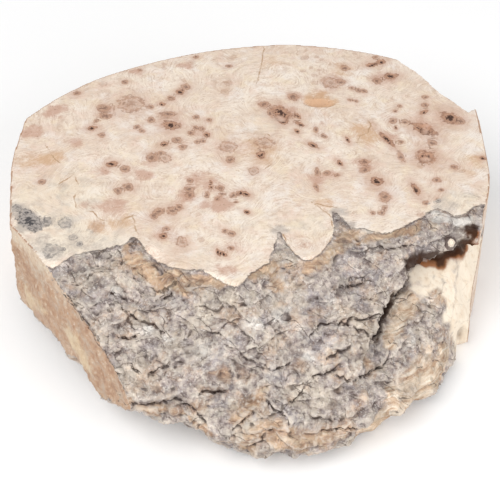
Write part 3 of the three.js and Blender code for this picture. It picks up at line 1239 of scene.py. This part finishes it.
    def crevices(self, graph: ShaderGraph, bark: bpy.types.NodeSocket,
                 crumbly: bpy.types.NodeSocket) -> bpy.types.NodeSocket:
        """Paint light and shade from the bark's relief: painted highlights on its ridges, painted shade in
        its hollows and painted shadows under its flakes.

        Args:
            graph: The material's nodes.
            bark: The bark's colour.
            crumbly: How rough the bark is.

        Returns:
            The colour with the crevices.
        """
        first, second, flaky = graph.split(graph.attribute("flake", "Vector"))
        fine, coarse, _ = graph.split(graph.attribute("cavity", "Vector"))
        # Painted highlight on the small ridges
        colour = graph.paint(bark, self.bark_pale, graph.step(fine, -0.08, -0.4), 0.4, crumbly)
        # Painted shade in the wider hollows
        colour = graph.paint(colour, self.bark_deep, graph.step(coarse, 0.25, 1.3), 0.5)
        # Painted shade in the small hollows
        dark = graph.times(graph.step(fine, 0.2, 0.75), crumbly, 0.75)
        broken = graph.step(graph.noise(6.5, 4.0), 0.44, 0.56)
        shown = graph.times(graph.step(flaky, 0.2, 0.7), broken, crumbly)
        # Painted shadow lines under the lips of the flakes
        for phase, pitch in ((first, 2.6), (second, 2.1)):
            jagged_phase = graph.math("FRACT", graph.math("ADD", phase, graph.wander(pitch, 3.0, 0.24)))
            line = graph.times(graph.step(jagged_phase, 0.86, 0.91), graph.step(jagged_phase, 0.99, 0.94))
            dark = graph.math("MAXIMUM", dark, graph.times(line, shown))
        return graph.paint(colour, self.crevice_shade, dark, 0.72)

    def hollow(self, graph: ShaderGraph,
               mottle: bpy.types.NodeSocket) -> tuple[bpy.types.NodeSocket, bpy.types.NodeSocket]:
        """Paint the smooth cream wood of the hollow.

        Args:
            graph: The material's nodes.
            mottle: The noise that breaks its edge.

        Returns:
            The colour, and where it shows.
        """
        upright = graph.vector("MULTIPLY", graph.millimetres, (1.0, 1.0, 0.16))
        streak = graph.noise(3.0, 5.0, 0.7, where=upright)
        clouds = graph.noise(12.0, 5.0, 0.65)
        colour = graph.paint(self.cream, self.cream_line, graph.step(streak, 0.48, 0.68), 0.55)
        colour = graph.paint(colour, self.beige, graph.step(clouds, 0.5, 0.68), 0.5)
        shown = graph.math("MULTIPLY_ADD", mottle, 0.7, graph.tint(Tint.CREAM_HOLLOW))
        return colour, graph.step(shown, 0.42, 1.2)

    def cracks(self, graph: ShaderGraph, skin: bpy.types.NodeSocket) -> bpy.types.NodeSocket:
        """Paint shade into the cracks: a painted dark where shade falls inside them.

        Args:
            graph: The material's nodes.
            skin: The colour that they break.

        Returns:
            The colour with the cracks.
        """
        strayed = graph.math("ADD", graph.attribute("crack_line"), graph.wander(2.6, 3.0, 2.4))
        width = graph.math("MULTIPLY_ADD", graph.noise(6.0, 3.0), 2.4, -1.0)
        past_side = graph.math("SUBTRACT", graph.math("ABSOLUTE", strayed), width)
        # Painted shade inside the cracks
        return graph.paint(
            skin, self.crevice_shade, graph.step(past_side, 0.4, -0.2), graph.attribute("crack_near"), 0.9)

    def knots(self, graph: ShaderGraph, bark: bpy.types.NodeSocket) -> bpy.types.NodeSocket:
        """Paint the round ends of the small knots in the bark.

        Args:
            graph: The material's nodes.
            bark: The bark's colour.

        Returns:
            The colour with the knots.
        """
        reach, pale, _ = graph.split(graph.attribute("knot", "Vector"))
        reach = graph.math("ADD", reach, graph.wander(1.9, 3.0, 0.8, 0.55))
        inside = graph.step(reach, 1.0, 0.8)
        colour = graph.paint(bark, self.cream, inside, pale)
        rings = graph.step(graph.math("SINE", graph.times(reach, 13.0)), 0.3, 0.9)
        colour = graph.paint(colour, self.inner_dark, rings, inside, 0.4)
        outline = graph.step(graph.math("ABSOLUTE", graph.math("SUBTRACT", reach, 1.08)), 0.4, 0.12)
        return graph.paint(colour, self.pit_and_gap_shade, outline, graph.math("MULTIPLY_ADD", pale, 0.55, 0.3))


@dataclass(frozen=True)
class Flakes:
    """One set of bark flakes: where their lips face, and their spacing, rise and overhang in millimetres."""

    run: tuple[float, float, float]
    pitch: float
    rise: float
    lean: float


@dataclass(frozen=True)
class Eye:
    """One eye: its centre, the two directions of its plane, its radii in millimetres and its kind."""

    centre: np.ndarray
    across: np.ndarray
    along: np.ndarray
    radii: tuple[float, float]
    kind: EyeKind
    depth: float = 1.5

    def reach(self, points: np.ndarray) -> tuple[np.ndarray, np.ndarray, np.ndarray]:
        """Measure points from the eye, in its own radii.

        Args:
            points: Places in millimetres.

        Returns:
            The two offsets in the eye's plane, and the distance with the depth below it.
        """
        offset = points - self.centre
        across = offset @ self.across / self.radii[0]
        along = offset @ self.along / self.radii[1]
        deep = offset @ np.cross(self.across, self.along) / self.depth
        return across, along, np.sqrt(across * across + along * along + deep * deep)


@dataclass
class BurlBlock:
    """The block: a fine copy of the CAD solid with broken bark, open cracks and a painted figure."""

    node: bpy.types.Object
    view: PhotoView
    voxel: float = 1.32
    bark_rounds: int = 5
    flake_sets: tuple[Flakes, ...] = (
        Flakes((0.15, -0.5, -0.85), 12.0, 2.0, 1.1), Flakes((-0.55, -0.45, -0.7), 7.5, 1.2, 0.7))
    lip: float = 0.86
    plate_pitch: float = 8.5
    plate_step: float = 1.8
    lump_pitch: float = 15.0
    lump_height: float = 1.7
    ridge_pitch: float = 6.0
    ridge_height: float = 1.6
    grit_pitch: float = 2.7
    grit_height: float = 0.65
    edge_band: float = 5.0
    stroke: float = 2.6
    sway: float = 0.8
    crack_depth: float = 0.5
    crack_width: float = 0.7
    lip_height: float = 0.9
    pit_depth: float = 0.6
    pocket_reach: float = 15.0
    crack_step: float = 1.3
    band_step: float = 4.0
    wall_share: float = 0.4
    base_share: float = 0.03
    level: float = 0.999
    upright: float = 2e-4
    skin_depth: float = 1.0
    pocket_depth: float = 6.0
    far_from_edge: float = 20.0
    edge_fade: float = 12.0
    base_fade: float = 4.0
    bark_sink: float = 0.7
    lip_reach: float = 5.0
    flake_patch: float = 21.0
    bark_waves: tuple[tuple[float, float], ...] = ((16.0, 7.0), (5.0, 1.8))
    tint_waves: tuple[tuple[float, float], ...] = ((9.0, 4.5), (3.5, 1.6))
    growth_waves: tuple[tuple[float, float], ...] = ((34.0, 12.0),)
    growth_swells: tuple[tuple[float, float], ...] = ((66.0, 26.0), (24.0, 9.0))
    weathered_from: float = 0.05
    wall_lump_pitch: float = 11.0
    wall_lump_height: float = 1.5
    torn_height: float = 16.0
    torn_depth: float = 5.0
    wall_fade: float = 5.0
    eye_swell: float = 1.3
    eye_turn: tuple[float, float] = (-5.0, 50.0)
    halo_reach: float = 2.4
    pit_width: float = 0.6
    wall_eyes: int = 240
    wall_eye_size: tuple[float, float] = (1.2, 2.6)
    wall_eye_stretch: tuple[float, float] = (0.7, 1.8)
    smooth_angle: float = math.radians(52.0)
    hollow_calm: float = 1.3
    flank_calm: float = 0.6
    calmest: float = 0.88
    edge_relief: float = 0.15
    base_relief: float = 0.3
    knot_side: tuple[float, float] = (0.85, 1.2)
    patch_fade: tuple[float, float] = (0.35, 1.45)
    crack_fade: tuple[float, float] = (0.25, 1.5)
    eye_fade: tuple[float, float] = (1.15, 1.7)
    seam_fade: tuple[float, float] = (2.5, 4.5)
    swirl_reach: float = 2.4
    swirl_margin: float = 1.5
    swirl_rise: float = 1.3

    def build(self) -> bpy.types.Object:
        """Make the block's mesh.

        Returns:
            The block's object.
        """
        self.piece = self.fine_copy()
        self.sort_vertices()
        self.flatten_sawn()
        self.soften_bark()
        self.surface = self.tree_of(self.piece.data)
        draw = random.Random(SEED)
        self.crack_lines = [(jagged(line, self.stroke, self.sway, draw), *size) for line, *size in CRACKS]
        self.cracks = self.crack_points()
        self.patches = self.patch_points()
        self.mark_wood_edge()
        self.break_bark()
        self.eyes = self.lay_eyes()
        self.thin_flat_faces()
        self.sink_eyes()
        return self.piece

    def dress(self, finish: BurlFinish) -> None:
        """Paint the block's attributes and give it its finish.

        Args:
            finish: The block's finish.
        """
        points = self.points()
        kinds = self.kinds()
        wavy = self.waver(points)
        self.store("saw_wall", (kinds == Surface.SAW_WALL.value).astype(float))
        self.store_cavities(points)
        self.store("rim", self.rim_share(kinds))
        self.store("growth", self.growth(points))
        for tint in Tint:
            self.store(tint.value, self.patch_share(wavy, tint))
        self.store_eyes(points)
        self.store_seams(points)
        self.piece.data.materials.clear()
        self.piece.data.materials.append(finish.material())
        work_on(self.piece)
        bpy.ops.object.shade_smooth_by_angle(angle=self.smooth_angle)

    def fine_copy(self) -> bpy.types.Object:
        """Copy the CAD solid, close it and give it even, fine faces.

        Returns:
            The copy.
        """
        piece = bpy.data.objects.new("burl_block", self.node.data.copy())
        bpy.context.scene.collection.objects.link(piece)
        work_on(piece)
        bpy.ops.object.mode_set(mode="EDIT")
        bpy.ops.mesh.select_all(action="SELECT")
        bpy.ops.mesh.remove_doubles(threshold=1e-6)
        bpy.ops.object.mode_set(mode="OBJECT")
        mesh = piece.data
        self.solid = self.tree_of(mesh)
        self.solid_normals = [polygon.normal.copy() for polygon in mesh.polygons]
        self.top = max(vertex.co.z for vertex in mesh.vertices) / MM
        remesh = piece.modifiers.new("fine_faces", "REMESH")
        remesh.mode = "VOXEL"
        remesh.voxel_size = self.voxel * MM
        bpy.ops.object.modifier_apply(modifier=remesh.name)
        return piece

    @staticmethod
    def tree_of(mesh: bpy.types.Mesh) -> BVHTree:
        """Make a search tree of a mesh."""
        places = [vertex.co.copy() for vertex in mesh.vertices]
        return BVHTree.FromPolygons(places, [polygon.vertices[:] for polygon in mesh.polygons])

    def points(self) -> np.ndarray:
        """Give the block's vertices.

        Returns:
            A row of three coordinates in millimetres for each vertex.
        """
        flat = np.empty(len(self.piece.data.vertices) * 3)
        self.piece.data.vertices.foreach_get("co", flat)
        return flat.reshape(-1, 3) / MM

    def normals(self) -> np.ndarray:
        """Give the block's vertex normals.

        Returns:
            A unit vector for each vertex.
        """
        flat = np.empty(len(self.piece.data.vertices) * 3)
        self.piece.data.vertices.foreach_get("normal", flat)
        return flat.reshape(-1, 3)

    def move(self, points: np.ndarray) -> None:
        """Move the block's vertices to points in millimetres."""
        self.piece.data.vertices.foreach_set("co", (points * MM).ravel())
        self.piece.data.update()

    def store(self, name: str, values: np.ndarray) -> None:
        """Keep numbers or vectors on the block's vertices.

        Args:
            name: The attribute.
            values: A number or a vector for each vertex.
        """
        vectors = values.ndim == 2
        layers = self.piece.data.attributes
        layer = layers.get(name) or layers.new(name, "FLOAT_VECTOR" if vectors else "FLOAT", "POINT")
        layer.data.foreach_set("vector" if vectors else "value", values.astype(np.float32).ravel())

    def load(self, name: str) -> np.ndarray:
        """Read numbers that were kept on the block's vertices.

        Args:
            name: The attribute.

        Returns:
            A number for each vertex.
        """
        values = np.empty(len(self.piece.data.vertices), dtype=np.float32)
        self.piece.data.attributes[name].data.foreach_get("value", values)
        return values

    def kinds(self) -> np.ndarray:
        """Tell for each vertex the number of its kind of skin."""
        return np.rint(self.load("skin")).astype(int)

    def sort_vertices(self) -> None:
        """Keep on each vertex which kind of skin of the CAD solid it lies on."""
        kinds = np.empty(len(self.piece.data.vertices))
        pockets = [self.view.on_height(pixel, self.top * MM) for pixel in POCKETS]
        for index, vertex in enumerate(self.piece.data.vertices):
            face = self.solid.find_nearest(vertex.co)[2]
            upward = self.solid_normals[face].z
            height = vertex.co.z / MM
            in_pocket = height > self.top - self.pocket_depth and any(
                (vertex.co - pocket).length < self.pocket_reach * MM for pocket in pockets)
            if (upward > self.level and height > self.top - self.skin_depth) or in_pocket:
                kinds[index] = Surface.SAWN_FACE.value
            elif upward < -self.level and height < self.skin_depth:
                kinds[index] = Surface.BASE.value
            elif abs(upward) < self.upright:
                kinds[index] = Surface.SAW_WALL.value
            else:
                kinds[index] = Surface.BARK.value
        self.store("skin", kinds)

    def flatten_sawn(self) -> None:
        """Lay the vertices of the sawn face and the base level, apart from the pockets."""
        points = self.points()
        kinds = self.kinds()
        face = (kinds == Surface.SAWN_FACE.value) & (points[:, 2] > self.top - self.voxel / 2.0)
        points[face, 2] = self.top
        points[kinds == Surface.BASE.value, 2] = 0.0
        self.move(points)

    def soften_bark(self) -> None:
        """Round off the facets of the CAD bark."""
        group = self.piece.vertex_groups.new(name="bark")
        group.add([int(i) for i in np.flatnonzero(self.kinds() == Surface.BARK.value)], 1.0, "REPLACE")
        work_on(self.piece)
        smooth = self.piece.modifiers.new("soften", "SMOOTH")
        smooth.vertex_group = group.name
        smooth.iterations = self.bark_rounds
        bpy.ops.object.modifier_apply(modifier=smooth.name)
        self.piece.vertex_groups.clear()

    def crack_points(self) -> np.ndarray:
        """Lay the cracks on the bark.

        Returns:
            Rows of place, depth and half width, in millimetres.
        """
        rows = []
        for line, depth, width in self.crack_lines:
            spots = [self.view.on_surface(pixel, self.surface) for pixel in along_line(line, self.crack_step)]
            for index, spot in enumerate(spots):
                if spot is None:
                    continue
                taper = min(1.0, 0.35 + 2.6 * min(index, len(spots) - index) / len(spots))
                opening = self.crack_width * width * (0.6 + 0.4 * taper)
                rows.append((*(spot / MM), self.crack_depth * depth * taper, opening))
        return np.array(rows)

    def crack_share(self, points: np.ndarray) -> tuple[np.ndarray, np.ndarray]:
        """Tell how far the cracks open at each point.

        Args:
            points: Places in millimetres.

        Returns:
            The share of the opening from 0 to 1, and the depth in millimetres.
        """
        share = np.zeros(len(points))
        depth = np.zeros(len(points))
        for row in self.cracks:
            near = np.flatnonzero(np.abs(points[:, 0] - row[0]) < row[4] * 1.6)
            reach = np.linalg.norm(points[near] - row[:3], axis=1) / row[4]
            opening = 1.0 - smooth_step(reach, *self.crack_fade)
            share[near] = np.maximum(share[near], opening)
            depth[near] = np.maximum(depth[near], opening * row[3])
        return share, depth

    def patch_points(self) -> dict[Tint, np.ndarray]:
        """Lay the patches of colour on the block.

        Returns:
            For each tint, rows of place, radius and strength, in millimetres.
        """
        laid = {}
        for tint in Tint:
            marks = [((x, y), radius, strength) for x, y, radius, strength in PATCHES.get(tint, ())]
            for line, radius, strength in BANDS.get(tint, ()):
                marks += [(pixel, radius, strength) for pixel in along_line(line, self.band_step)]
            rows = []
            for pixel, radius, strength in marks:
                spot = self.view.on_surface(pixel, self.surface)
                if spot is not None:
                    rows.append((*(spot / MM), radius, strength))
            laid[tint] = np.array(rows)
        return laid

    def waver(self, points: np.ndarray) -> np.ndarray:
        """Shift points this way and that, so that what is measured from them gets a ragged edge.

        Args:
            points: Places in millimetres.

        Returns:
            The shifted places.
        """
        return np.array([shift(Vector(point), self.tint_waves) for point in points])

    def patch_share(self, points: np.ndarray, tint: Tint) -> np.ndarray:
        """Tell how strong a tint is at each point.

        Args:
            points: Places in millimetres.
            tint: The tint.

        Returns:
            Its strength from 0 to 1.
        """
        share = np.zeros(len(points))
        for row in self.patches[tint]:
            reach = np.linalg.norm(points - row[:3], axis=1) / row[3]
            share = np.maximum(share, row[4] * (1.0 - smooth_step(reach, *self.patch_fade)))
        return share

    def mark_wood_edge(self) -> None:
        """Keep on each vertex how far past the wood's edge it lies in the photograph, and sort it anew."""
        points = self.points()
        kinds = self.kinds()
        pixels = self.view.pixels(points)
        best = np.full(len(points), FAR)
        measure_line(pixels, WOOD_EDGE, best, best.copy())
        low, high = -self.view.frame_pixels, 2.0 * self.view.frame_pixels
        left, right = WOOD_EDGE[0][1], WOOD_EDGE[-1][1]
        past = within(pixels, (*WOOD_EDGE, (high, right), (high, high), (low, high), (low, left)))
        far = self.far_from_edge
        edge = np.clip(np.where(past, best, -best), -far, far)
        face = kinds == Surface.SAWN_FACE.value
        kinds[face & past] = Surface.BARK.value
        bark = kinds == Surface.BARK.value
        measured = face | (bark & (points[:, 2] > self.top - self.edge_band))
        self.store("wood_edge", np.where(measured, edge, np.where(bark, far, -far)))
        self.store("skin", kinds)

    def store_cracks(self, points: np.ndarray, share: np.ndarray) -> np.ndarray:
        """Keep on each vertex its signed distance from the nearest crack in the photograph, and how near.

        Args:
            points: The block's vertices in millimetres.
            share: How far the cracks open at each.

        Returns:
            The signed distance in pixels, positive below the crack.
        """
        pixels = self.view.pixels(points)
        best = np.full(len(points), FAR)
        signed = best.copy()
        for line, _, _ in self.crack_lines:
            measure_line(pixels, line if line[0][0] < line[-1][0] else line[::-1], best, signed)
        self.store("crack_line", np.clip(signed, -self.far_from_edge, self.far_from_edge))
        rough = np.isin(self.kinds(), (Surface.BARK.value, Surface.SAW_WALL.value))
        self.store("crack_near", np.where(rough, smooth_step(share, 0.0, 0.25), 0.0))
        return signed

    def store_knots(self, points: np.ndarray) -> tuple[np.ndarray, np.ndarray]:
        """Keep on each vertex how far the nearest knot is, in its radii, and how pale that is.

        Args:
            points: The block's vertices in millimetres.

        Returns:
            The distance in radii, and the height of the nearest knot.
        """
        best = np.full(len(points), 9.0)
        pale = np.zeros(len(points))
        heights = np.zeros(len(points))
        for pixel, radius, height, paleness in KNOTS:
            spot = self.view.on_surface(pixel, self.surface) / MM
            reach = np.linalg.norm(points - np.array(spot), axis=1) / radius
            closer = reach < best
            best[closer] = reach[closer]
            pale[closer] = paleness
            heights[closer] = height
        self.store("knot", np.stack((best, pale, np.zeros(len(points))), axis=1))
        return best, heights

    def edge_ends(self) -> tuple[np.ndarray, np.ndarray]:
        """Give the two vertices of each of the block's edges.

        Returns:
            The numbers of the first vertices and of the second ones.
        """
        mesh = self.piece.data
        ends = np.empty(len(mesh.edges) * 2, dtype=np.int32)
        mesh.edges.foreach_get("vertices", ends)
        return ends[::2], ends[1::2]

    def rim_share(self, kinds: np.ndarray) -> np.ndarray:
        """Mark the vertices of the sawn face that lie at a saw wall.

        Args:
            kinds: The kind of skin of each vertex.

        Returns:
            1 at the rim and 0 elsewhere.
        """
        rim = np.zeros(len(kinds))
        for here, there in (self.edge_ends(), self.edge_ends()[::-1]):
            at_wall = (kinds[here] == Surface.SAWN_FACE.value) & (kinds[there] == Surface.SAW_WALL.value)
            rim[here[at_wall]] = 1.0
        return rim

    def store_cavities(self, points: np.ndarray) -> None:
        """Keep on each vertex how far it lies below what surrounds it, near by and in a wider round.

        Args:
            points: The block's vertices in millimetres.
        """
        starts, stops = self.edge_ends()
        count = len(points)
        joined = np.bincount(starts, minlength=count) + np.bincount(stops, minlength=count)
        normals = self.normals()
        eased = points
        depths = []
        for rounds in (2, 8):
            for _ in range(rounds):
                sums = np.zeros((count, 3))
                for here, there in ((starts, stops), (stops, starts)):
                    for axis in range(3):
                        sums[:, axis] += np.bincount(here, eased[there, axis], count)
                eased = sums / joined[:, None]
            depths.append(np.einsum("ij,ij->i", eased - points, normals))
        self.store("cavity", np.stack((*depths, np.zeros(count)), axis=1))

    def bark_lift(self, place: Vector) -> tuple[float, Vector, tuple[float, ...]]:
        """Give the small relief of the bark: lumps, ridges, grit and flakes that overhang.

        Args:
            place: A point in millimetres.

        Returns:
            The height in millimetres, the overhang, and the flakes' phases with how flaky the place is.
        """
        bent = shift(place, self.bark_waves)
        lift = noise.fractal(place / self.lump_pitch, 0.9, 2.0, 4) * self.lump_height
        lift += (0.3 - abs(noise.noise(bent / self.ridge_pitch))) * self.ridge_height
        lift += noise.fractal(place / self.grit_pitch, 0.5, 2.0, 2) * self.grit_height
        plates = noise.voronoi(bent / self.plate_pitch)[1]
        lift += noise.noise(plates[0] * 5.3) * self.plate_step
        flaky = min(1.0, max(0.0, 0.55 + 1.6 * noise.noise(place / self.flake_patch)))
        overhang = Vector()
        phases = []
        for flakes in self.flake_sets:
            run = Vector(flakes.run)
            phase = bent.dot(run) / flakes.pitch
            share = phase - math.floor(phase)
            rise = share / self.lip if share < self.lip else (1.0 - share) / (1.0 - self.lip)
            lift += (rise - 0.5) * flaky * flakes.rise
            overhang += run * (rise * flaky * flakes.lean)
            phases.append(phase)
        return lift, overhang, (*phases, flaky)

    def break_bark(self) -> None:
        """Break the bark into flakes, lumps and grit, open the cracks, and weather the left saw walls."""
        points, normals, kinds = self.points(), self.normals(), self.kinds()
        smooth = self.hollow_calm * self.patch_share(points, Tint.CREAM_HOLLOW)
        smooth += self.flank_calm * self.patch_share(points, Tint.BEIGE_FLANK)
        calm = 1.0 - self.calmest * np.clip(smooth, 0.0, 1.0)
        share, depth = self.crack_share(points)
        side = self.store_cracks(points, share)
        step = -self.lip_height * np.sign(side) * np.exp(-np.abs(side) / self.lip_reach)
        knot_reach, knot_height = self.store_knots(points)
        in_knot = 1.0 - smooth_step(knot_reach, *self.knot_side)
        near_edge = np.clip(self.load("wood_edge") / self.edge_fade, 0.0, 1.0)
        above_base = np.clip(points[:, 2] / self.base_fade, 0.0, 1.0)
        amount = calm * (1.0 - in_knot)
        amount *= self.edge_relief + (1.0 - self.edge_relief) * near_edge
        amount *= self.base_relief + (1.0 - self.base_relief) * above_base
        phases = np.zeros((len(points), 3))
        for index in np.flatnonzero(kinds == Surface.BARK.value):
            lift, overhang, phases[index] = self.bark_lift(Vector(points[index]))
            raised = (lift + step[index]) * amount[index] + knot_height[index] * in_knot[index]
            raised -= depth[index] * calm[index] + self.bark_sink * near_edge[index]
            points[index] += normals[index] * raised + np.array(overhang) * amount[index]
        self.weather_walls(points, normals, kinds)
        points[:, 2] = np.clip(points[:, 2], 0.0, self.top)
        self.move(points)
        self.store("flake", phases)

    def weather_walls(self, points: np.ndarray, normals: np.ndarray, kinds: np.ndarray) -> None:
        """Make the left saw walls lumpy, and torn at the foot.

        Args:
            points: The block's vertices in millimetres, which this moves.
            normals: Their normals.
            kinds: Their kinds of skin.
        """
        weathered = self.patch_share(points, Tint.WEATHERED_WALL)
        self.store(Tint.WEATHERED_WALL.value, weathered)
        for index in np.flatnonzero((kinds == Surface.SAW_WALL.value) & (weathered > self.weathered_from)):
            place = Vector(points[index])
            lumps = noise.fractal(place / self.wall_lump_pitch, 0.8, 2.0, 4) * self.wall_lump_height
            ragged = noise.noise(place / 8.0) + 0.5 * noise.noise(place / 3.0)
            torn = max(0.0, 1.0 - place.z / self.torn_height) * ragged * self.torn_depth
            below_top = min(1.0, max(0.0, (self.top - place.z) / self.wall_fade))
            points[index] += normals[index] * (lumps + torn) * weathered[index] * below_top

    def thin_flat_faces(self) -> None:
        """Thin out the faces of the saw walls and the base, which are flat."""
        for kind, share in ((Surface.BASE, self.base_share), (Surface.SAW_WALL, self.wall_share)):
            flat = self.load(Tint.WEATHERED_WALL.value) < self.weathered_from
            chosen = (self.kinds() == kind.value) & flat
            work_on(self.piece)
            bpy.ops.object.mode_set(mode="EDIT")
            bpy.ops.mesh.select_mode(type="FACE")
            bpy.ops.mesh.select_all(action="DESELECT")
            bpy.ops.object.mode_set(mode="OBJECT")
            for polygon in self.piece.data.polygons:
                polygon.select = all(chosen[vertex] for vertex in polygon.vertices)
            bpy.ops.object.mode_set(mode="EDIT")
            bpy.ops.mesh.decimate(ratio=share)
            bpy.ops.object.mode_set(mode="OBJECT")

    def growth(self, points: np.ndarray) -> np.ndarray:
        """Give the field whose level lines are the growth lines of the burl.

        Args:
            points: Places in millimetres.

        Returns:
            The field, in millimetres.
        """
        field = np.empty(len(points))
        for index, point in enumerate(points):
            bent = shift(Vector(point), self.growth_waves)
            swells = sum(height * noise.noise(bent / pitch) for pitch, height in self.growth_swells)
            field[index] = swells + bent.dot(ACROSS_GRAIN)
        for eye in self.eyes:
            spread = self.swirl_reach * max(eye.radii) + self.swirl_margin
            reach = np.linalg.norm(points - eye.centre, axis=1) / spread
            field += self.swirl_rise * spread * np.exp(-reach * reach)
        return field

    def lay_eyes(self) -> list[Eye]:
        """Lay the eyes on the sawn face and scatter others over the saw walls.

        Returns:
            The eyes.
        """
        eyes = []
        scale = self.eye_swell / (2.0 * self.view.pixels_per_mm)
        lean = math.sin(self.view.elevation)
        draw = random.Random(SEED)
        for kind, marks in FACE_EYES.items():
            for x, y, width, height in marks:
                centre = np.array(self.view.on_height((x, y), self.top * MM) / MM)
                turn = math.radians(draw.uniform(*self.eye_turn))
                across = np.array((math.cos(turn), math.sin(turn), 0.0))
                along = np.array((-math.sin(turn), math.cos(turn), 0.0))
                eyes.append(Eye(centre, across, along, (width * scale, height * scale / lean), kind))
        walls = np.flatnonzero(self.kinds() == Surface.SAW_WALL.value)
        points, normals = self.points(), self.normals()
        upward = Vector((0.0, 0.0, 1.0))
        for _ in range(self.wall_eyes):
            index = int(draw.choice(walls))
            across = upward.cross(Vector(normals[index])).normalized()
            size = draw.uniform(*self.wall_eye_size)
            tall = size * draw.uniform(*self.wall_eye_stretch)
            kind = draw.choice(WALL_EYE_KINDS)
            eyes.append(Eye(points[index], np.array(across), np.array(upward), (size, tall), kind))
        return eyes

    def sink_eyes(self) -> None:
        """Press the dark eyes of the sawn face a little into the wood."""
        points = self.points()
        face = np.flatnonzero(self.kinds() == Surface.SAWN_FACE.value)
        for eye in self.eyes:
            if eye.kind is EyeKind.DARK and eye.centre[2] >= self.top - self.skin_depth:
                reach = eye.reach(points[face])[2]
                points[face, 2] -= self.pit_depth * np.exp(-(reach / self.pit_width) ** 2)
        self.move(points)

    def store_eyes(self, points: np.ndarray) -> None:
        """Keep on each vertex where its nearest eye lies, how near it is, and what the eye is like.

        Args:
            points: The block's vertices in millimetres.
        """
        best = np.full(len(points), FAR)
        place = np.full((len(points), 3), 9.0)
        tone, ringed, halo = np.zeros((3, len(points)))
        for eye in self.eyes:
            across, along, reach = eye.reach(points)
            halo = np.maximum(halo, eye.kind.tone * np.exp(-(reach / self.halo_reach) ** 2))
            closer = reach < best
            best[closer] = reach[closer]
            place[closer] = np.stack((across, along, np.zeros(len(points))), axis=1)[closer]
            tone[closer] = eye.kind.tone
            ringed[closer] = eye.kind.ringed
        self.store("halo", halo)
        self.store("eye", place)
        self.store("eye_near", 1.0 - smooth_step(best, *self.eye_fade))
        self.store("eye_tone", tone)
        self.store("eye_ringed", ringed)

    def store_seams(self, points: np.ndarray) -> None:
        """Keep on each vertex its signed distance from the nearest seam, and how near that is.

        Args:
            points: The block's vertices in millimetres.
        """
        best = np.full(len(points), FAR)
        signed = best.copy()
        for line in SEAMS:
            spots = [tuple(self.view.on_height(pixel, self.top * MM) / MM)[:2] for pixel in line]
            measure_line(points[:, :2], spots, best, signed)
        self.store("seam", np.clip(signed, -9.0, 9.0))
        on_face = points[:, 2] > self.top - self.skin_depth
        self.store("seam_near", np.where(on_face, 1.0 - smooth_step(best, *self.seam_fade), 0.0))


@dataclass
class Studio:
    """A pale floor, soft light from above and in front, and a bright surround."""

    floor_size: float = 8.0
    floor_pitch: float = 400.0
    floor_tones: tuple[float, float] = (0.93, 0.96)
    floor_roughness: float = 0.9
    surround: float = 0.62
    key_power: float = 29.5
    key_size: float = 1.6
    key_place: tuple[float, float, float] = (-0.9, -1.1, 1.7)
    fill_power: float = 20.0
    fill_place: tuple[float, float, float] = (1.2, -1.4, 0.9)

    def build(self) -> None:
        """Set up the floor, the lights and the surround."""
        bpy.ops.object.select_all(action="DESELECT")
        bpy.ops.mesh.primitive_plane_add(size=self.floor_size)
        floor = bpy.context.active_object
        floor.name = "studio_floor"
        graph = ShaderGraph("studio_floor")
        shade = graph.noise(self.floor_pitch, 3.0)
        pale = graph.ramp(shade, *((place, (tone,) * 3) for place, tone in enumerate(self.floor_tones)))
        graph.put(graph.shader.inputs["Base Color"], pale)
        graph.shader.inputs["Roughness"].default_value = self.floor_roughness
        floor.data.materials.append(graph.material)
        self.add_light("key_light", self.key_place, self.key_power, self.key_size)
        self.add_light("fill_light", self.fill_place, self.fill_power, self.key_size)
        world = bpy.data.worlds.new("studio")
        world.use_nodes = True
        background = world.node_tree.nodes["Background"]
        background.inputs["Color"].default_value = (1.0, 1.0, 1.0, 1.0)
        background.inputs["Strength"].default_value = self.surround
        bpy.context.scene.world = world
        bpy.context.scene.view_settings.view_transform = "Standard"

    @staticmethod
    def add_light(name: str, place: tuple[float, float, float], power: float, size: float) -> None:
        """Hang a soft light that faces the block.

        Args:
            name: The light's name.
            place: Where it hangs.
            power: Its power in watts.
            size: Its side.
        """
        lamp = bpy.data.lights.new(name, "AREA")
        lamp.energy = power
        lamp.size = size
        light = bpy.data.objects.new(name, lamp)
        light.location = place
        light.rotation_euler = (-Vector(place)).to_track_quat("-Z", "Y").to_euler()
        bpy.context.scene.collection.objects.link(light)


def main() -> None:
    """Build the studio, the camera and the block."""
    logging.basicConfig(level=logging.INFO, format="%(name)s: %(message)s")
    noise.seed_set(SEED)
    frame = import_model()
    view = PhotoView()
    view.add_camera()
    Studio().build()
    block = BurlBlock(frame["nodes"]["oak_burl"], view)
    piece = block.build()
    block.dress(BurlFinish())
    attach(piece, "root")
    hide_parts("oak_burl")
    piece.data.calc_loop_triangles()
    LOG.info("%s: %d triangles", piece.name, len(piece.data.loop_triangles))


if __name__ == "__main__":
    main()
